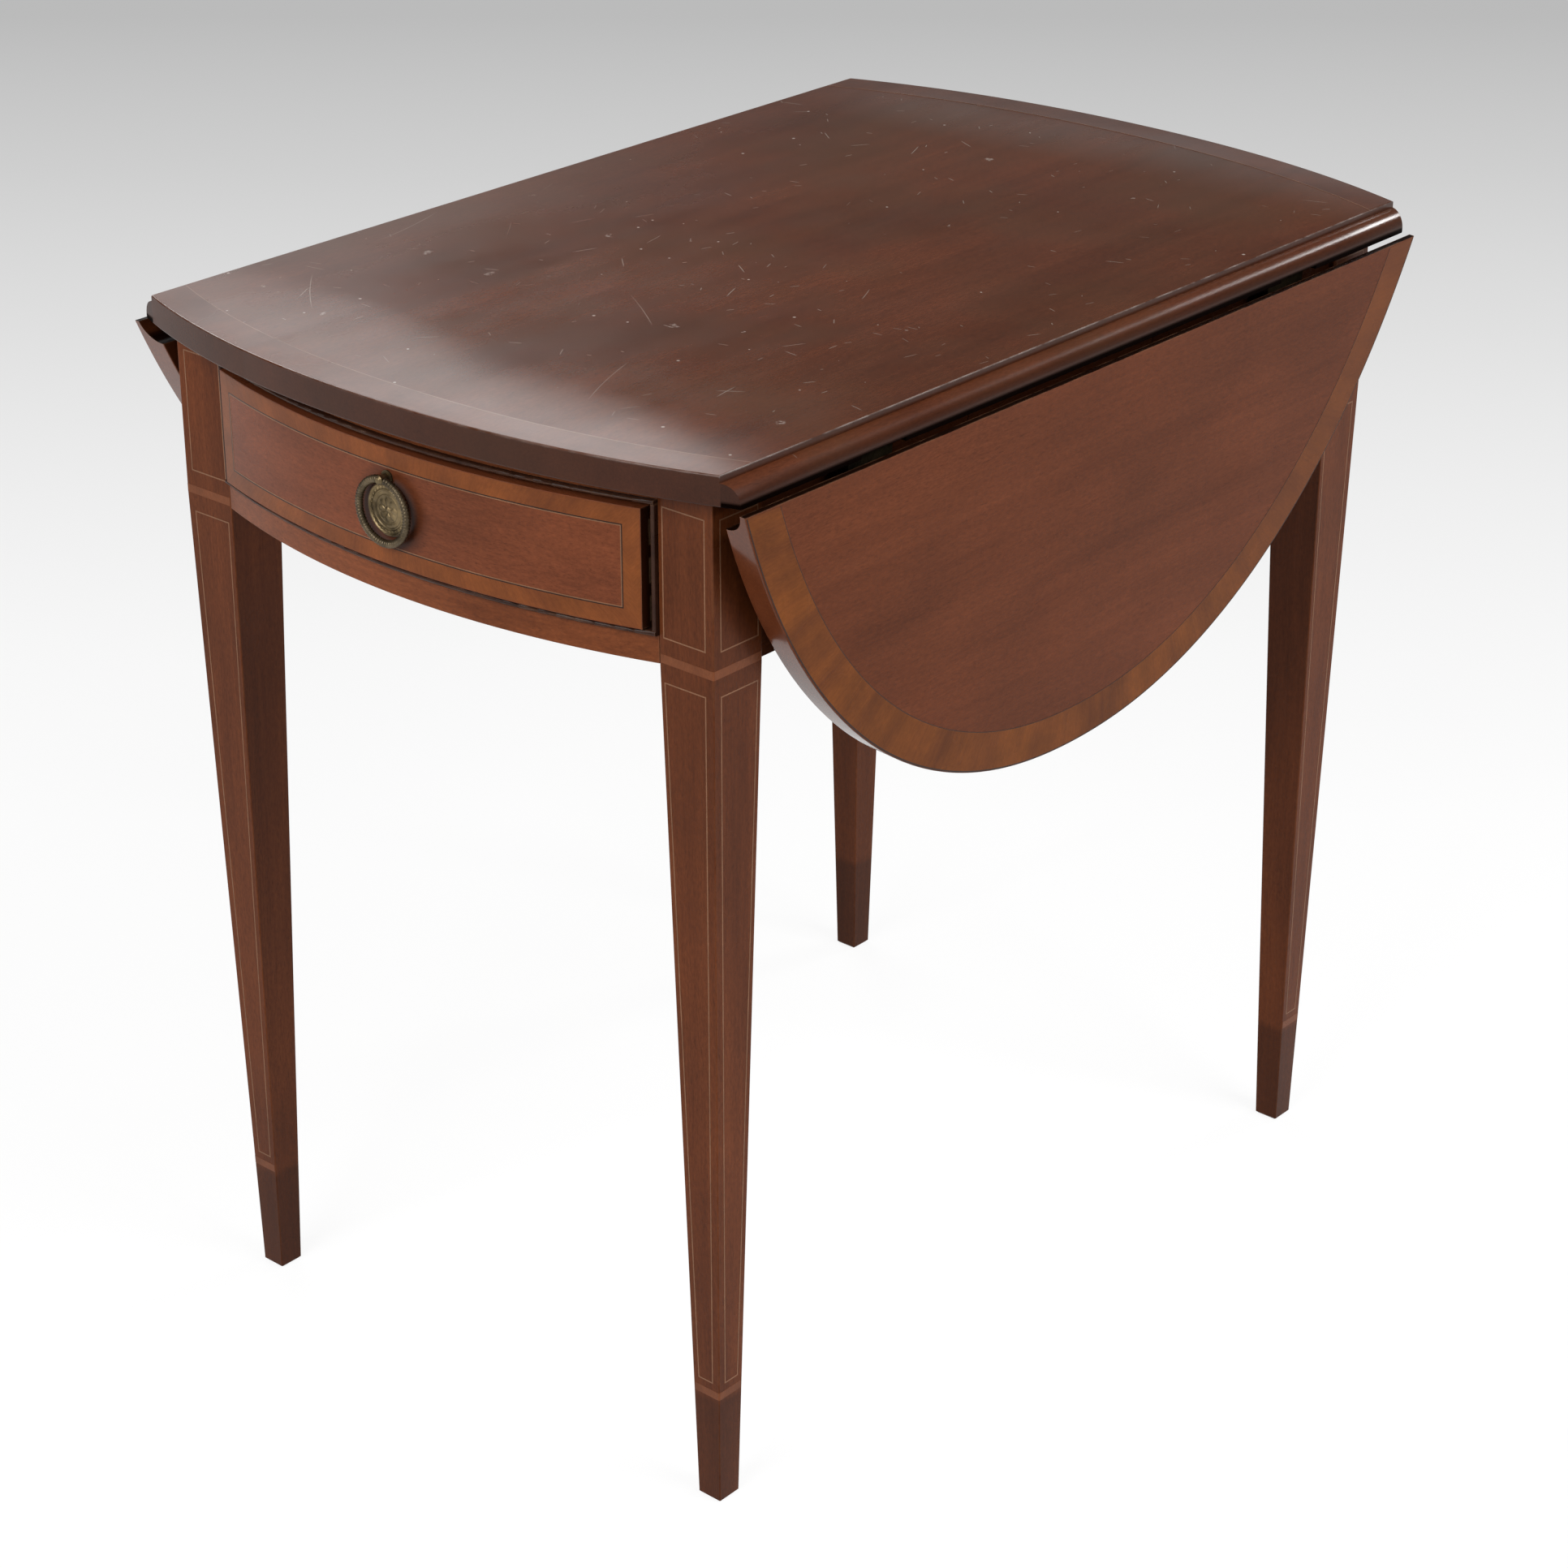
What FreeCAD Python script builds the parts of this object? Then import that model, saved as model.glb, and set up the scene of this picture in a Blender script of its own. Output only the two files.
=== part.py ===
import FreeCAD, Part
import math
import os

# Oval drop-leaf table with a bowed drawer, drawn with both leaves hanging and the drawer shut.
# Millimetres, +Z up, origin on the floor below the middle of the top.
# The drawer faces -Y and the leaves hang at -X and +X.

# Overall sizes
HEIGHT = 724.0
LEG_SPAN_X = 460.0
LEG_SPAN_Y = 676.0
SIDE_OVERHANG = 12.5
END_OVERHANG = 48.0
LEAF_DEPTH = 267.5
OVAL_POWER = 2.11
END_POINT_COUNT = 11
LEAF_POINT_COUNT = 15
TOP_THICK = 19.0
EDGE_EASE = 1.0

# Rule joint between the top and each leaf
FILLET_DEPTH = 4.5
OVOLO_REACH = 11.5
JOINT_GAP = 0.4
LEAF_LEAN = 4.5

# Legs
LEG_SQUARE = 42.5
FOOT_SQUARE = 18.5
FOOT_INSET = 10.0
FOOT_CHAMFER = 1.5
LEG_EDGE_ROUND = 0.8

# Rails
APRON_HEIGHT = 114.0
RAIL_BOW = 30.0
FRONT_RAIL_HEIGHT = 21.0
FRONT_RAIL_DEPTH = 48.0
TOP_RAIL_HEIGHT = 11.0
BACK_RAIL_THICK = 20.0
SIDE_RAIL_THICK = 18.0
OUTER_RAIL_THICK = 19.0
OUTER_RAIL_SETBACK = 4.0
TENON_LENGTH = 20.0
TENON_INSET = 10.6
FRONT_TENON_SHOULDER = 5.0
TENON_THICK = 9.0
TENON_SHOULDER = 9.0
TENON_WEB = 3.4
LAP_DOVETAIL_INSET = 14.2
LAP_DOVETAIL_ROOT = 12.0
LAP_DOVETAIL_TIP = 18.0

# Fly brackets and their wooden knuckles
FLY_LENGTH = 200.0
FLY_PIVOT_Y = 100.0
FLY_END_HEIGHT = 42.0
FLY_FLAT_LENGTH = 80.0
FLY_LIP_LENGTH = 20.0
FLY_GAP = 0.5
KNUCKLE_COUNT = 5
KNUCKLE_GAP = 0.3
KNUCKLE_PIN_RADIUS = 2.5
RUNNING_CLEARANCE = 0.06

# Drawer and its opening
BEAD_THICK = 3.0
BEAD_PROUD = 3.5
BEAD_DEPTH = 9.0
BEAD_NOSE = 1.2
DRAWER_SIDE_GAP = 3.5
DRAWER_PROUD = 5.0
DRAWER_FRONT_THICK = 20.0
DRAWER_FRONT_LIFT = 1.0
DRAWER_FRONT_GAP = 2.5
DRAWER_DEPTH = 490.0
DRAWER_SIDE_THICK = 10.0
KICKER_GAP = 6.2
DRAWER_BACK_THICK = 8.0
DRAWER_BACK_DROP = 7.5
DRAWER_BOTTOM_THICK = 5.0
DRAWER_BOTTOM_LIFT = 7.0
GROOVE_DEPTH = 4.0
RUNNER_GAP = 0.3
GUIDE_GAP = 0.8
TAIL_COUNT = 3
TAIL_LENGTH = 11.0
TAIL_ROOT = 12.0
TAIL_TIP = 16.0
RUNNER_WIDTH = 24.0
RUNNER_THICK = 12.0
GUIDE_HEIGHT = 16.0
RUNNER_END_GAP = 40.5
KICKER_THICK = 15.0
STOP_LENGTH = 30.0
STOP_DEPTH = 10.0
STOP_HEIGHT = 6.0
STOP_X = 90.0
BLOCK_LENGTH = 40.0
BLOCK_SIZE = 18.0
BLOCK_X = 85.0
FITTED_GAP = 0.1

# Rule-joint hinges
HINGE_Y = 215.0
HINGE_LENGTH = 40.0
PLATE_THICK = 2.0
TOP_PLATE_REACH = 26.0
LEAF_PLATE_REACH = 60.0
BARREL_RADIUS = 3.2
HINGE_PIN_RADIUS = 1.5
HINGE_RECESS_GAP = 0.4
HINGE_SCREW_SPREAD = 12.0
TOP_PLATE_SCREW_X = 13.0
LEAF_SCREW_X_NEAR = 32.0
LEAF_SCREW_X_FAR = 50.0

# Screws
HINGE_SCREW_RADIUS = 1.6
HINGE_SCREW_HEAD = 3.2
HINGE_SCREW_LENGTH = 12.0
TOP_SCREW_RADIUS = 2.2
TOP_SCREW_HEAD = 4.4
TOP_SCREW_BITE = 12.0
TOP_SCREW_END_GAP = 72.5

# Ring pull
PULL_DROP = 1.25
ROSETTE_RADIUS = 17.3
ROSETTE_RISE = 3.0
ROSETTE_RIM = 1.2
ROSETTE_EDGE = 0.7
ROSETTE_BOSS_RADIUS = 4.6
ROSETTE_MARGIN = 2.7
ROSETTE_RING_STEP = 5.6
ROSETTE_RING_HALF = 1.5
ROSETTE_RING_RISE = 2.4
RING_RADIUS = 20.5
RING_WIRE = 2.6
RING_STAND = 5.4
RING_END_GAP = 0.4
POST_RADIUS = 3.0
POST_COLLAR_RADIUS = 4.6
POST_COLLAR_THICK = 1.2
POST_NOSE = 3.4
POST_CHAMFER = 1.3
PIVOT_PIN_RADIUS = 1.1
SHANK_RADIUS = 2.0
NUT_RADIUS = 5.5
NUT_THICK = 4.0

# Worked out from the sizes above
LENGTH = LEG_SPAN_Y + 2 * END_OVERHANG
FLAT_WIDTH = LEG_SPAN_X + 2 * SIDE_OVERHANG
OPEN_WIDTH = FLAT_WIDTH + 2 * LEAF_DEPTH
UNDERSIDE = HEIGHT - TOP_THICK
APRON_BOTTOM = UNDERSIDE - APRON_HEIGHT
HALF_FLAT = FLAT_WIDTH / 2
HALF_TOP = HALF_FLAT + OVOLO_REACH
COVE_RADIUS = TOP_THICK - FILLET_DEPTH + JOINT_GAP
LEG_OUT_X = LEG_SPAN_X / 2
LEG_OUT_Y = LEG_SPAN_Y / 2
LEG_IN_X = LEG_OUT_X - LEG_SQUARE
LEG_IN_Y = LEG_OUT_Y - LEG_SQUARE
OUTER_RAIL_FACE = LEG_OUT_X - OUTER_RAIL_SETBACK
OUTER_RAIL_BACK = OUTER_RAIL_FACE - OUTER_RAIL_THICK
SIDE_RAIL_INNER = OUTER_RAIL_BACK - SIDE_RAIL_THICK
SIDE_TENON_LENGTH = LEG_SQUARE - TENON_INSET - TENON_THICK / 2 - TENON_WEB
RUNNER_BACK_Y = LEG_IN_Y - RUNNER_END_GAP
BOW_RADIUS = (LEG_IN_X ** 2 + RAIL_BOW ** 2) / (2 * RAIL_BOW)
BOW_CENTRE_Y = BOW_RADIUS - LEG_OUT_Y - RAIL_BOW
RAIL_BACK_Y = FRONT_RAIL_DEPTH - LEG_OUT_Y
OPENING_BOTTOM = APRON_BOTTOM + FRONT_RAIL_HEIGHT
OPENING_TOP = UNDERSIDE - TOP_RAIL_HEIGHT
DRAWER_HALF = LEG_IN_X - BEAD_THICK - DRAWER_SIDE_GAP
DRAWER_INNER = DRAWER_HALF - DRAWER_SIDE_THICK
FACE_RADIUS = BOW_RADIUS + DRAWER_PROUD
FACE_BACK_RADIUS = FACE_RADIUS - DRAWER_FRONT_THICK
FACE_APEX_Y = BOW_CENTRE_Y - FACE_RADIUS
FRONT_BOTTOM = OPENING_BOTTOM + DRAWER_FRONT_LIFT
FRONT_TOP = OPENING_TOP - BEAD_THICK - DRAWER_FRONT_GAP
SIDE_BOTTOM = OPENING_BOTTOM + RUNNER_GAP
SIDE_TOP = UNDERSIDE - KICKER_THICK - KICKER_GAP
TAIL_PITCH = (SIDE_TOP - SIDE_BOTTOM) / TAIL_COUNT
PANEL_BOTTOM = SIDE_BOTTOM + DRAWER_BOTTOM_LIFT
PANEL_TOP = PANEL_BOTTOM + DRAWER_BOTTOM_THICK
KNUCKLE_RADIUS = OUTER_RAIL_THICK / 2 - FLY_GAP / 2
KNUCKLE_X = OUTER_RAIL_FACE - OUTER_RAIL_THICK / 2
KNUCKLE_CUT = OUTER_RAIL_THICK / 2 + FLY_GAP / 2
RING_Y = FACE_APEX_Y - RING_STAND
PULL_Z = (FRONT_BOTTOM + FRONT_TOP) / 2 - PULL_DROP
PIVOT_Z = PULL_Z + RING_RADIUS
ROSETTE_OUTER_RING = ROSETTE_RADIUS - ROSETTE_MARGIN
ROSETTE_INNER_RING = ROSETTE_OUTER_RING - ROSETTE_RING_STEP

UP = FreeCAD.Vector(0, 0, 1)
ALONG_X = FreeCAD.Vector(1, 0, 0)
ALONG_Y = FreeCAD.Vector(0, 1, 0)
ORIGIN = FreeCAD.Vector(0, 0, 0)
SAME = 1e-6


def vec(x, y, z):
    return FreeCAD.Vector(x, y, z)


def box(x_low, x_high, y_low, y_high, z_low, z_high):
    return Part.makeBox(x_high - x_low, y_high - y_low, z_high - z_low, vec(x_low, y_low, z_low))


def rod(radius, start, end):
    return Part.makeCylinder(radius, (end - start).Length, start, end - start)


def prism(points, extent):
    wire = Part.makePolygon(points + points[:1])
    return Part.Face(wire).extrude(extent)


def mirror_x(shape):
    return shape.mirror(ORIGIN, ALONG_X)


def mirror_y(shape):
    return shape.mirror(ORIGIN, ALONG_Y)


def joined(shapes):
    whole = shapes[0]
    for shape in shapes[1:]:
        whole = whole.fuse(shape)
    return whole.removeSplitter()


def save(name, shape):
    shape.exportStep("parts/" + name + ".step")


def save_group(name, solids):
    save(name, Part.makeCompound(solids))


def save_pair(name, right_shape):
    save(name + "_right", right_shape)
    save(name + "_left", mirror_x(right_shape))


# Curves of the top


def oval_point(turn, z):
    """A point of the open top's outline, where turn 0 is the tip of the right leaf."""
    power = 2 / OVAL_POWER
    across = math.cos(turn)
    along = math.sin(turn)
    x = math.copysign(abs(across) ** power, across) * OPEN_WIDTH / 2
    y = math.copysign(abs(along) ** power, along) * LENGTH / 2
    return vec(x, y, z)


def oval_turn(x):
    """The turn at which the outline's back half reaches x."""
    return math.acos(math.copysign(abs(2 * x / OPEN_WIDTH) ** (OVAL_POWER / 2), x))


def oval_edge(first_turn, last_turn, z, point_count):
    turns = [first_turn + (last_turn - first_turn) * i / (point_count - 1) for i in range(point_count)]
    curve = Part.BSplineCurve()
    curve.interpolate([oval_point(turn, z) for turn in turns])
    return curve.toShape()


def straight_edge(start, end):
    return Part.makeLine(start, end)


def eased_ends(board, low_z, high_z):
    """Rounds the arrises along the curved ends of a board."""
    curved = []
    for edge in board.Edges:
        extent = edge.BoundBox
        offset = min(abs(extent.ZMin - low_z), abs(extent.ZMin - high_z))
        straight = isinstance(edge.Curve, (Part.Line, Part.LineSegment))
        if extent.ZLength < SAME and offset < SAME and not straight:
            curved.append(edge)
    return board.makeFillet(EDGE_EASE, curved)


# Hinges of the rule joint, drawn for the right leaf while it is raised


def hinge_axis_point(y=0.0):
    return vec(HALF_FLAT, y, UNDERSIDE)


def hinge_places():
    return (-HINGE_Y, HINGE_Y)


def barrel_piece(y, first_third, last_third, radius, trim=0.0):
    """Part of a hinge barrel between two of its thirds, with a trim taken off both ends."""
    third = HINGE_LENGTH / 3
    start = y - HINGE_LENGTH / 2 + third * first_third + trim
    end = y - HINGE_LENGTH / 2 + third * last_third - trim
    return rod(radius, hinge_axis_point(start), hinge_axis_point(end))


def flat_screw(x, y, grow):
    """A countersunk screw standing up from the underside plane."""
    foot = vec(x, y, UNDERSIDE)
    head_depth = HINGE_SCREW_HEAD - HINGE_SCREW_RADIUS
    head = Part.makeCone(HINGE_SCREW_HEAD + grow, HINGE_SCREW_RADIUS + grow, head_depth, foot)
    shank = rod(HINGE_SCREW_RADIUS + grow, foot, foot + UP * (HINGE_SCREW_LENGTH + grow))
    return joined([head, shank])


def top_plate_screws(grow):
    x = HALF_FLAT - TOP_PLATE_SCREW_X
    return [flat_screw(x, y + side * HINGE_SCREW_SPREAD, grow) for y in hinge_places() for side in (-1, 1)]


def leaf_plate_screws(grow):
    screws = []
    for y in hinge_places():
        for side in (-1, 1):
            screws.append(flat_screw(HALF_FLAT + LEAF_SCREW_X_NEAR, y + side * HINGE_SCREW_SPREAD, grow))
        screws.append(flat_screw(HALF_FLAT + LEAF_SCREW_X_FAR, y, grow))
    return screws


def hinge_pin_bore():
    return rod(HINGE_PIN_RADIUS + RUNNING_CLEARANCE, hinge_axis_point(-LENGTH), hinge_axis_point(LENGTH))


def hinge_flap(x_low, x_high, y):
    y_low = y - HINGE_LENGTH / 2
    return box(x_low, x_high, y_low, y_low + HINGE_LENGTH, UNDERSIDE, UNDERSIDE + PLATE_THICK)


def top_hinge_plates():
    """Short flaps under the top, each with the middle knuckle."""
    plates = []
    for y in hinge_places():
        plate = hinge_flap(HALF_FLAT - TOP_PLATE_REACH, HALF_FLAT, y)
        for third in (0, 2):
            plate = plate.cut(barrel_piece(y, third, third + 1, BARREL_RADIUS + HINGE_RECESS_GAP))
        middle = barrel_piece(y, 1, 2, BARREL_RADIUS, KNUCKLE_GAP)
        plate = joined([plate, middle]).cut(hinge_pin_bore())
        for screw in top_plate_screws(RUNNING_CLEARANCE):
            plate = plate.cut(screw)
        plates.append(plate)
    return plates


def leaf_hinge_plates():
    """Long flaps under the leaf, each with the two outer knuckles."""
    plates = []
    for y in hinge_places():
        plate = hinge_flap(HALF_FLAT, HALF_FLAT + LEAF_PLATE_REACH, y)
        plate = plate.cut(barrel_piece(y, 1, 2, BARREL_RADIUS + HINGE_RECESS_GAP))
        outer = [barrel_piece(y, third, third + 1, BARREL_RADIUS, KNUCKLE_GAP) for third in (0, 2)]
        plate = joined([plate] + outer).cut(hinge_pin_bore())
        for screw in leaf_plate_screws(RUNNING_CLEARANCE):
            plate = plate.cut(screw)
        plates.append(plate)
    return plates


def hinge_pins():
    return [barrel_piece(y, 0, 3, HINGE_PIN_RADIUS) for y in hinge_places()]


def hinge_recesses():
    """What is let into the top for each hinge: the flap, the knuckle and the swing of the long flap."""
    cuts = []
    for y in hinge_places():
        end = HINGE_LENGTH / 2 + HINGE_RECESS_GAP
        plate_top = UNDERSIDE + PLATE_THICK
        cuts.append(box(HALF_FLAT - TOP_PLATE_REACH, HALF_FLAT, y - end, y + end, UNDERSIDE, plate_top))
        cuts.append(barrel_piece(y, 0, 3, BARREL_RADIUS + HINGE_RECESS_GAP, -HINGE_RECESS_GAP))
        cuts.append(box(HALF_FLAT, HALF_TOP, y - end, y + end, UNDERSIDE, plate_top + HINGE_RECESS_GAP))
    return cuts


# Top and leaves


def rule_profile():
    """Section of the top across the table, with a fillet and ovolo at each side."""
    shoulder = HEIGHT - FILLET_DEPTH
    side = shoulder - OVOLO_REACH
    lean = math.sqrt(0.5) * OVOLO_REACH
    edges = []
    for sign in (1, -1):
        foot = vec(sign * HALF_TOP, 0, UNDERSIDE)
        low = vec(sign * HALF_TOP, 0, side)
        middle = vec(sign * (HALF_FLAT + lean), 0, side + lean)
        high = vec(sign * HALF_FLAT, 0, shoulder)
        crest = vec(sign * HALF_FLAT, 0, HEIGHT)
        edges.append(straight_edge(foot, low))
        edges.append(Part.Arc(low, middle, high).toShape())
        edges.append(straight_edge(high, crest))
    edges.append(straight_edge(vec(HALF_FLAT, 0, HEIGHT), vec(-HALF_FLAT, 0, HEIGHT)))
    edges.append(straight_edge(vec(HALF_TOP, 0, UNDERSIDE), vec(-HALF_TOP, 0, UNDERSIDE)))
    return Part.Face(Part.Wire(Part.__sortEdges__(edges)))


def top_blank():
    turn = oval_turn(HALF_TOP)
    back = oval_edge(turn, math.pi - turn, UNDERSIDE, END_POINT_COUNT)
    front = oval_edge(math.pi + turn, 2 * math.pi - turn, UNDERSIDE, END_POINT_COUNT)
    edges = [back, front]
    for side in (turn, math.pi - turn):
        edges.append(straight_edge(oval_point(side, UNDERSIDE), oval_point(-side, UNDERSIDE)))
    plan = Part.Face(Part.Wire(Part.__sortEdges__(edges)))
    return eased_ends(plan.extrude(UP * TOP_THICK), UNDERSIDE, HEIGHT)


def top_board():
    section = rule_profile()
    section.translate(vec(0, -LENGTH, 0))
    board = top_blank().common(section.extrude(ALONG_Y * 2 * LENGTH))
    for cut in hinge_recesses() + top_plate_screws(RUNNING_CLEARANCE):
        board = board.cut(cut)
        board = board.cut(mirror_x(cut))
    for screw in top_screws(RUNNING_CLEARANCE):
        board = board.cut(screw)
    return board


def leaf_board():
    """The right leaf while it is raised."""
    edge_x = HALF_FLAT + JOINT_GAP
    turn = oval_turn(edge_x)
    curve = oval_edge(-turn, turn, UNDERSIDE, LEAF_POINT_COUNT)
    chord = straight_edge(oval_point(turn, UNDERSIDE), oval_point(-turn, UNDERSIDE))
    plan = Part.Face(Part.Wire([curve, chord]))
    board = eased_ends(plan.extrude(UP * TOP_THICK), UNDERSIDE, HEIGHT)
    board = board.cut(rod(COVE_RADIUS, hinge_axis_point(-LENGTH), hinge_axis_point(LENGTH)))
    for y in hinge_places():
        end = HINGE_LENGTH / 2 + HINGE_RECESS_GAP
        reach = HALF_FLAT + LEAF_PLATE_REACH + HINGE_RECESS_GAP
        board = board.cut(box(HALF_FLAT, reach, y - end, y + end, UNDERSIDE, UNDERSIDE + PLATE_THICK))
    for screw in leaf_plate_screws(RUNNING_CLEARANCE):
        board = board.cut(screw)
    return board


def lowered(shape):
    """Swings a raised right-hand leaf piece down to where it hangs."""
    swung = shape.copy()
    swung.rotate(hinge_axis_point(), ALONG_Y, 90 + LEAF_LEAN)
    return swung


# Carcase


def bow_disc(radius, z_low, z_high):
    return Part.makeCylinder(radius, z_high - z_low, vec(0, BOW_CENTRE_Y, z_low))


def bow_y(radius, x):
    return BOW_CENTRE_Y - math.sqrt(radius ** 2 - x ** 2)


def rounded_square(x_out, y_out, size, z):
    """A square section with eased corners, measured inwards from its outer corner."""
    ease = LEG_EDGE_ROUND
    x_in = x_out - size
    y_in = y_out + size
    dip = ease * (1 - math.sqrt(0.5))
    corners = ((x_out, y_out, -1, 1), (x_out, y_in, -1, -1), (x_in, y_in, 1, -1), (x_in, y_out, 1, 1))
    edges = []
    last = None
    for index, (x, y, dx, dy) in enumerate(corners):
        along_y = vec(x, y + dy * ease, z)
        along_x = vec(x + dx * ease, y, z)
        start, end = (along_x, along_y) if index % 2 == 0 else (along_y, along_x)
        if last is None:
            first = start
        else:
            edges.append(straight_edge(last, start))
        edges.append(Part.Arc(start, vec(x + dx * dip, y + dy * dip, z), end).toShape())
        last = end
    edges.append(straight_edge(last, first))
    return Part.Wire(edges)


def leg_blank():
    """The front right leg: square above, tapered on all four sides below the rails."""
    toe = FOOT_SQUARE - 2 * FOOT_CHAMFER
    inset_toe = FOOT_INSET + FOOT_CHAMFER
    foot_out_x = LEG_OUT_X - FOOT_INSET
    foot_out_y = FOOT_INSET - LEG_OUT_Y
    block = rounded_square(LEG_OUT_X, -LEG_OUT_Y, LEG_SQUARE, APRON_BOTTOM)
    ankle = rounded_square(foot_out_x, foot_out_y, FOOT_SQUARE, FOOT_CHAMFER)
    sole = rounded_square(LEG_OUT_X - inset_toe, inset_toe - LEG_OUT_Y, toe, 0)
    shaft = Part.makeLoft([ankle, block], True, True)
    chamfer = Part.makeLoft([sole, ankle], True, True)
    upper = Part.Face(block).extrude(UP * APRON_HEIGHT)
    return joined([upper, shaft, chamfer])


def rail_tenon(z_low, z_high):
    """Tenon of an end rail in the front right leg."""
    y_middle = TENON_INSET - LEG_OUT_Y
    half = TENON_THICK / 2
    return box(LEG_IN_X, LEG_IN_X + TENON_LENGTH, y_middle - half, y_middle + half, z_low, z_high)


def side_tenon():
    x_middle = SIDE_RAIL_INNER + SIDE_RAIL_THICK / 2
    half = TENON_THICK / 2
    z_low = APRON_BOTTOM + TENON_SHOULDER
    z_high = OPENING_TOP - TENON_SHOULDER
    front = -LEG_IN_Y - SIDE_TENON_LENGTH
    return box(x_middle - half, x_middle + half, front, -LEG_IN_Y, z_low, z_high)


def lap_dovetail():
    """Dovetail that laps the drawer's top rail into the front right leg."""
    y_middle = LAP_DOVETAIL_INSET - LEG_OUT_Y
    root = LAP_DOVETAIL_ROOT / 2
    tip = LAP_DOVETAIL_TIP / 2
    points = [vec(LEG_IN_X, y_middle - root, OPENING_TOP)]
    points.append(vec(LEG_IN_X + TENON_LENGTH, y_middle - tip, OPENING_TOP))
    points.append(vec(LEG_IN_X + TENON_LENGTH, y_middle + tip, OPENING_TOP))
    points.append(vec(LEG_IN_X, y_middle + root, OPENING_TOP))
    return prism(points, UP * TOP_RAIL_HEIGHT)


def front_rail_tenon():
    return rail_tenon(APRON_BOTTOM + FRONT_TENON_SHOULDER, OPENING_BOTTOM - FRONT_TENON_SHOULDER)


def back_rail_tenon():
    """Drawn at the front, and turned to the back with its rail."""
    return rail_tenon(APRON_BOTTOM + TENON_SHOULDER, OPENING_TOP - TENON_SHOULDER)


def front_leg():
    return leg_blank().cut(side_tenon()).cut(front_rail_tenon()).cut(lap_dovetail())


def back_leg():
    return mirror_y(leg_blank().cut(side_tenon()).cut(back_rail_tenon()))


def with_both_ends(rail, tenon):
    return joined([rail, tenon, mirror_x(tenon)])


def bead_strip(z_low, z_high):
    """A bowed bead across the opening with a rounded nose."""
    nose = BOW_RADIUS + BEAD_PROUD
    back = BOW_RADIUS - BEAD_DEPTH + BEAD_PROUD
    ring = bow_disc(nose, z_low, z_high).cut(bow_disc(back, z_low, z_high))
    strip = ring.common(box(-LEG_IN_X, LEG_IN_X, -LENGTH, 0, z_low, z_high))
    front = []
    for edge in strip.Edges:
        if isinstance(edge.Curve, Part.Circle) and abs(edge.Curve.Radius - nose) < SAME:
            front.append(edge)
    return strip.makeFillet(BEAD_NOSE, front)


def top_bead():
    return bead_strip(OPENING_TOP - BEAD_THICK, OPENING_TOP)


def bottom_bead():
    return bead_strip(OPENING_BOTTOM - BEAD_THICK, OPENING_BOTTOM)


def side_bead():
    x_low = LEG_IN_X - BEAD_THICK
    y_front = -LEG_OUT_Y - BEAD_PROUD
    strip = box(x_low, LEG_IN_X, y_front, y_front + BEAD_DEPTH, OPENING_BOTTOM, OPENING_TOP - BEAD_THICK)
    nose = []
    for edge in strip.Edges:
        upright = edge.BoundBox.ZLength > BEAD_DEPTH
        if upright and abs(edge.BoundBox.YMin - y_front) < SAME:
            nose.append(edge)
    return strip.makeFillet(BEAD_NOSE, nose)


def front_rail():
    plan = box(-LEG_IN_X, LEG_IN_X, -LENGTH, RAIL_BACK_Y, APRON_BOTTOM, OPENING_BOTTOM)
    bowed = plan.common(bow_disc(BOW_RADIUS, APRON_BOTTOM, OPENING_BOTTOM))
    rail = with_both_ends(bowed, front_rail_tenon())
    bead_low = OPENING_BOTTOM - BEAD_THICK
    seat = bow_disc(BOW_RADIUS + BEAD_PROUD, bead_low, OPENING_BOTTOM)
    seat = seat.cut(bow_disc(BOW_RADIUS - BEAD_DEPTH + BEAD_PROUD, bead_low, OPENING_BOTTOM))
    return rail.cut(seat.common(box(-LEG_IN_X, LEG_IN_X, -LENGTH, 0, bead_low, OPENING_BOTTOM)))


def top_rail():
    plan = box(-LEG_IN_X, LEG_IN_X, -LENGTH, RAIL_BACK_Y, OPENING_TOP, UNDERSIDE)
    return with_both_ends(plan.common(bow_disc(BOW_RADIUS, OPENING_TOP, UNDERSIDE)), lap_dovetail())


def back_rail():
    ring = bow_disc(BOW_RADIUS, APRON_BOTTOM, UNDERSIDE)
    ring = ring.cut(bow_disc(BOW_RADIUS - BACK_RAIL_THICK, APRON_BOTTOM, UNDERSIDE))
    rail = ring.common(box(-LEG_IN_X, LEG_IN_X, -LENGTH, 0, APRON_BOTTOM, UNDERSIDE))
    return mirror_y(with_both_ends(rail, back_rail_tenon()))


def side_rail():
    rail = box(SIDE_RAIL_INNER, OUTER_RAIL_BACK, -LEG_IN_Y, LEG_IN_Y, APRON_BOTTOM, UNDERSIDE)
    return joined([rail, side_tenon(), mirror_y(side_tenon())])


# Fly brackets


def knuckle_levels(first):
    """Heights of every second knuckle, starting from the first or second one."""
    step = (APRON_HEIGHT - FLY_GAP) / KNUCKLE_COUNT
    gap = KNUCKLE_GAP / 2
    levels = []
    for index in range(first, KNUCKLE_COUNT, 2):
        low = APRON_BOTTOM + step * index
        levels.append((low + gap, low + step - gap))
    return levels


def knuckles(first, y_body):
    """Wooden knuckles round the fly pin, each running back to the board's end at y_body."""
    pieces = []
    for z_low, z_high in knuckle_levels(first):
        barrel = Part.makeCylinder(KNUCKLE_RADIUS, z_high - z_low, vec(KNUCKLE_X, FLY_PIVOT_Y, z_low))
        y_low = min(FLY_PIVOT_Y, y_body)
        y_high = max(FLY_PIVOT_Y, y_body)
        neck = box(KNUCKLE_X - KNUCKLE_RADIUS, KNUCKLE_X + KNUCKLE_RADIUS, y_low, y_high, z_low, z_high)
        pieces.append(joined([barrel, neck]))
    return pieces


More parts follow.
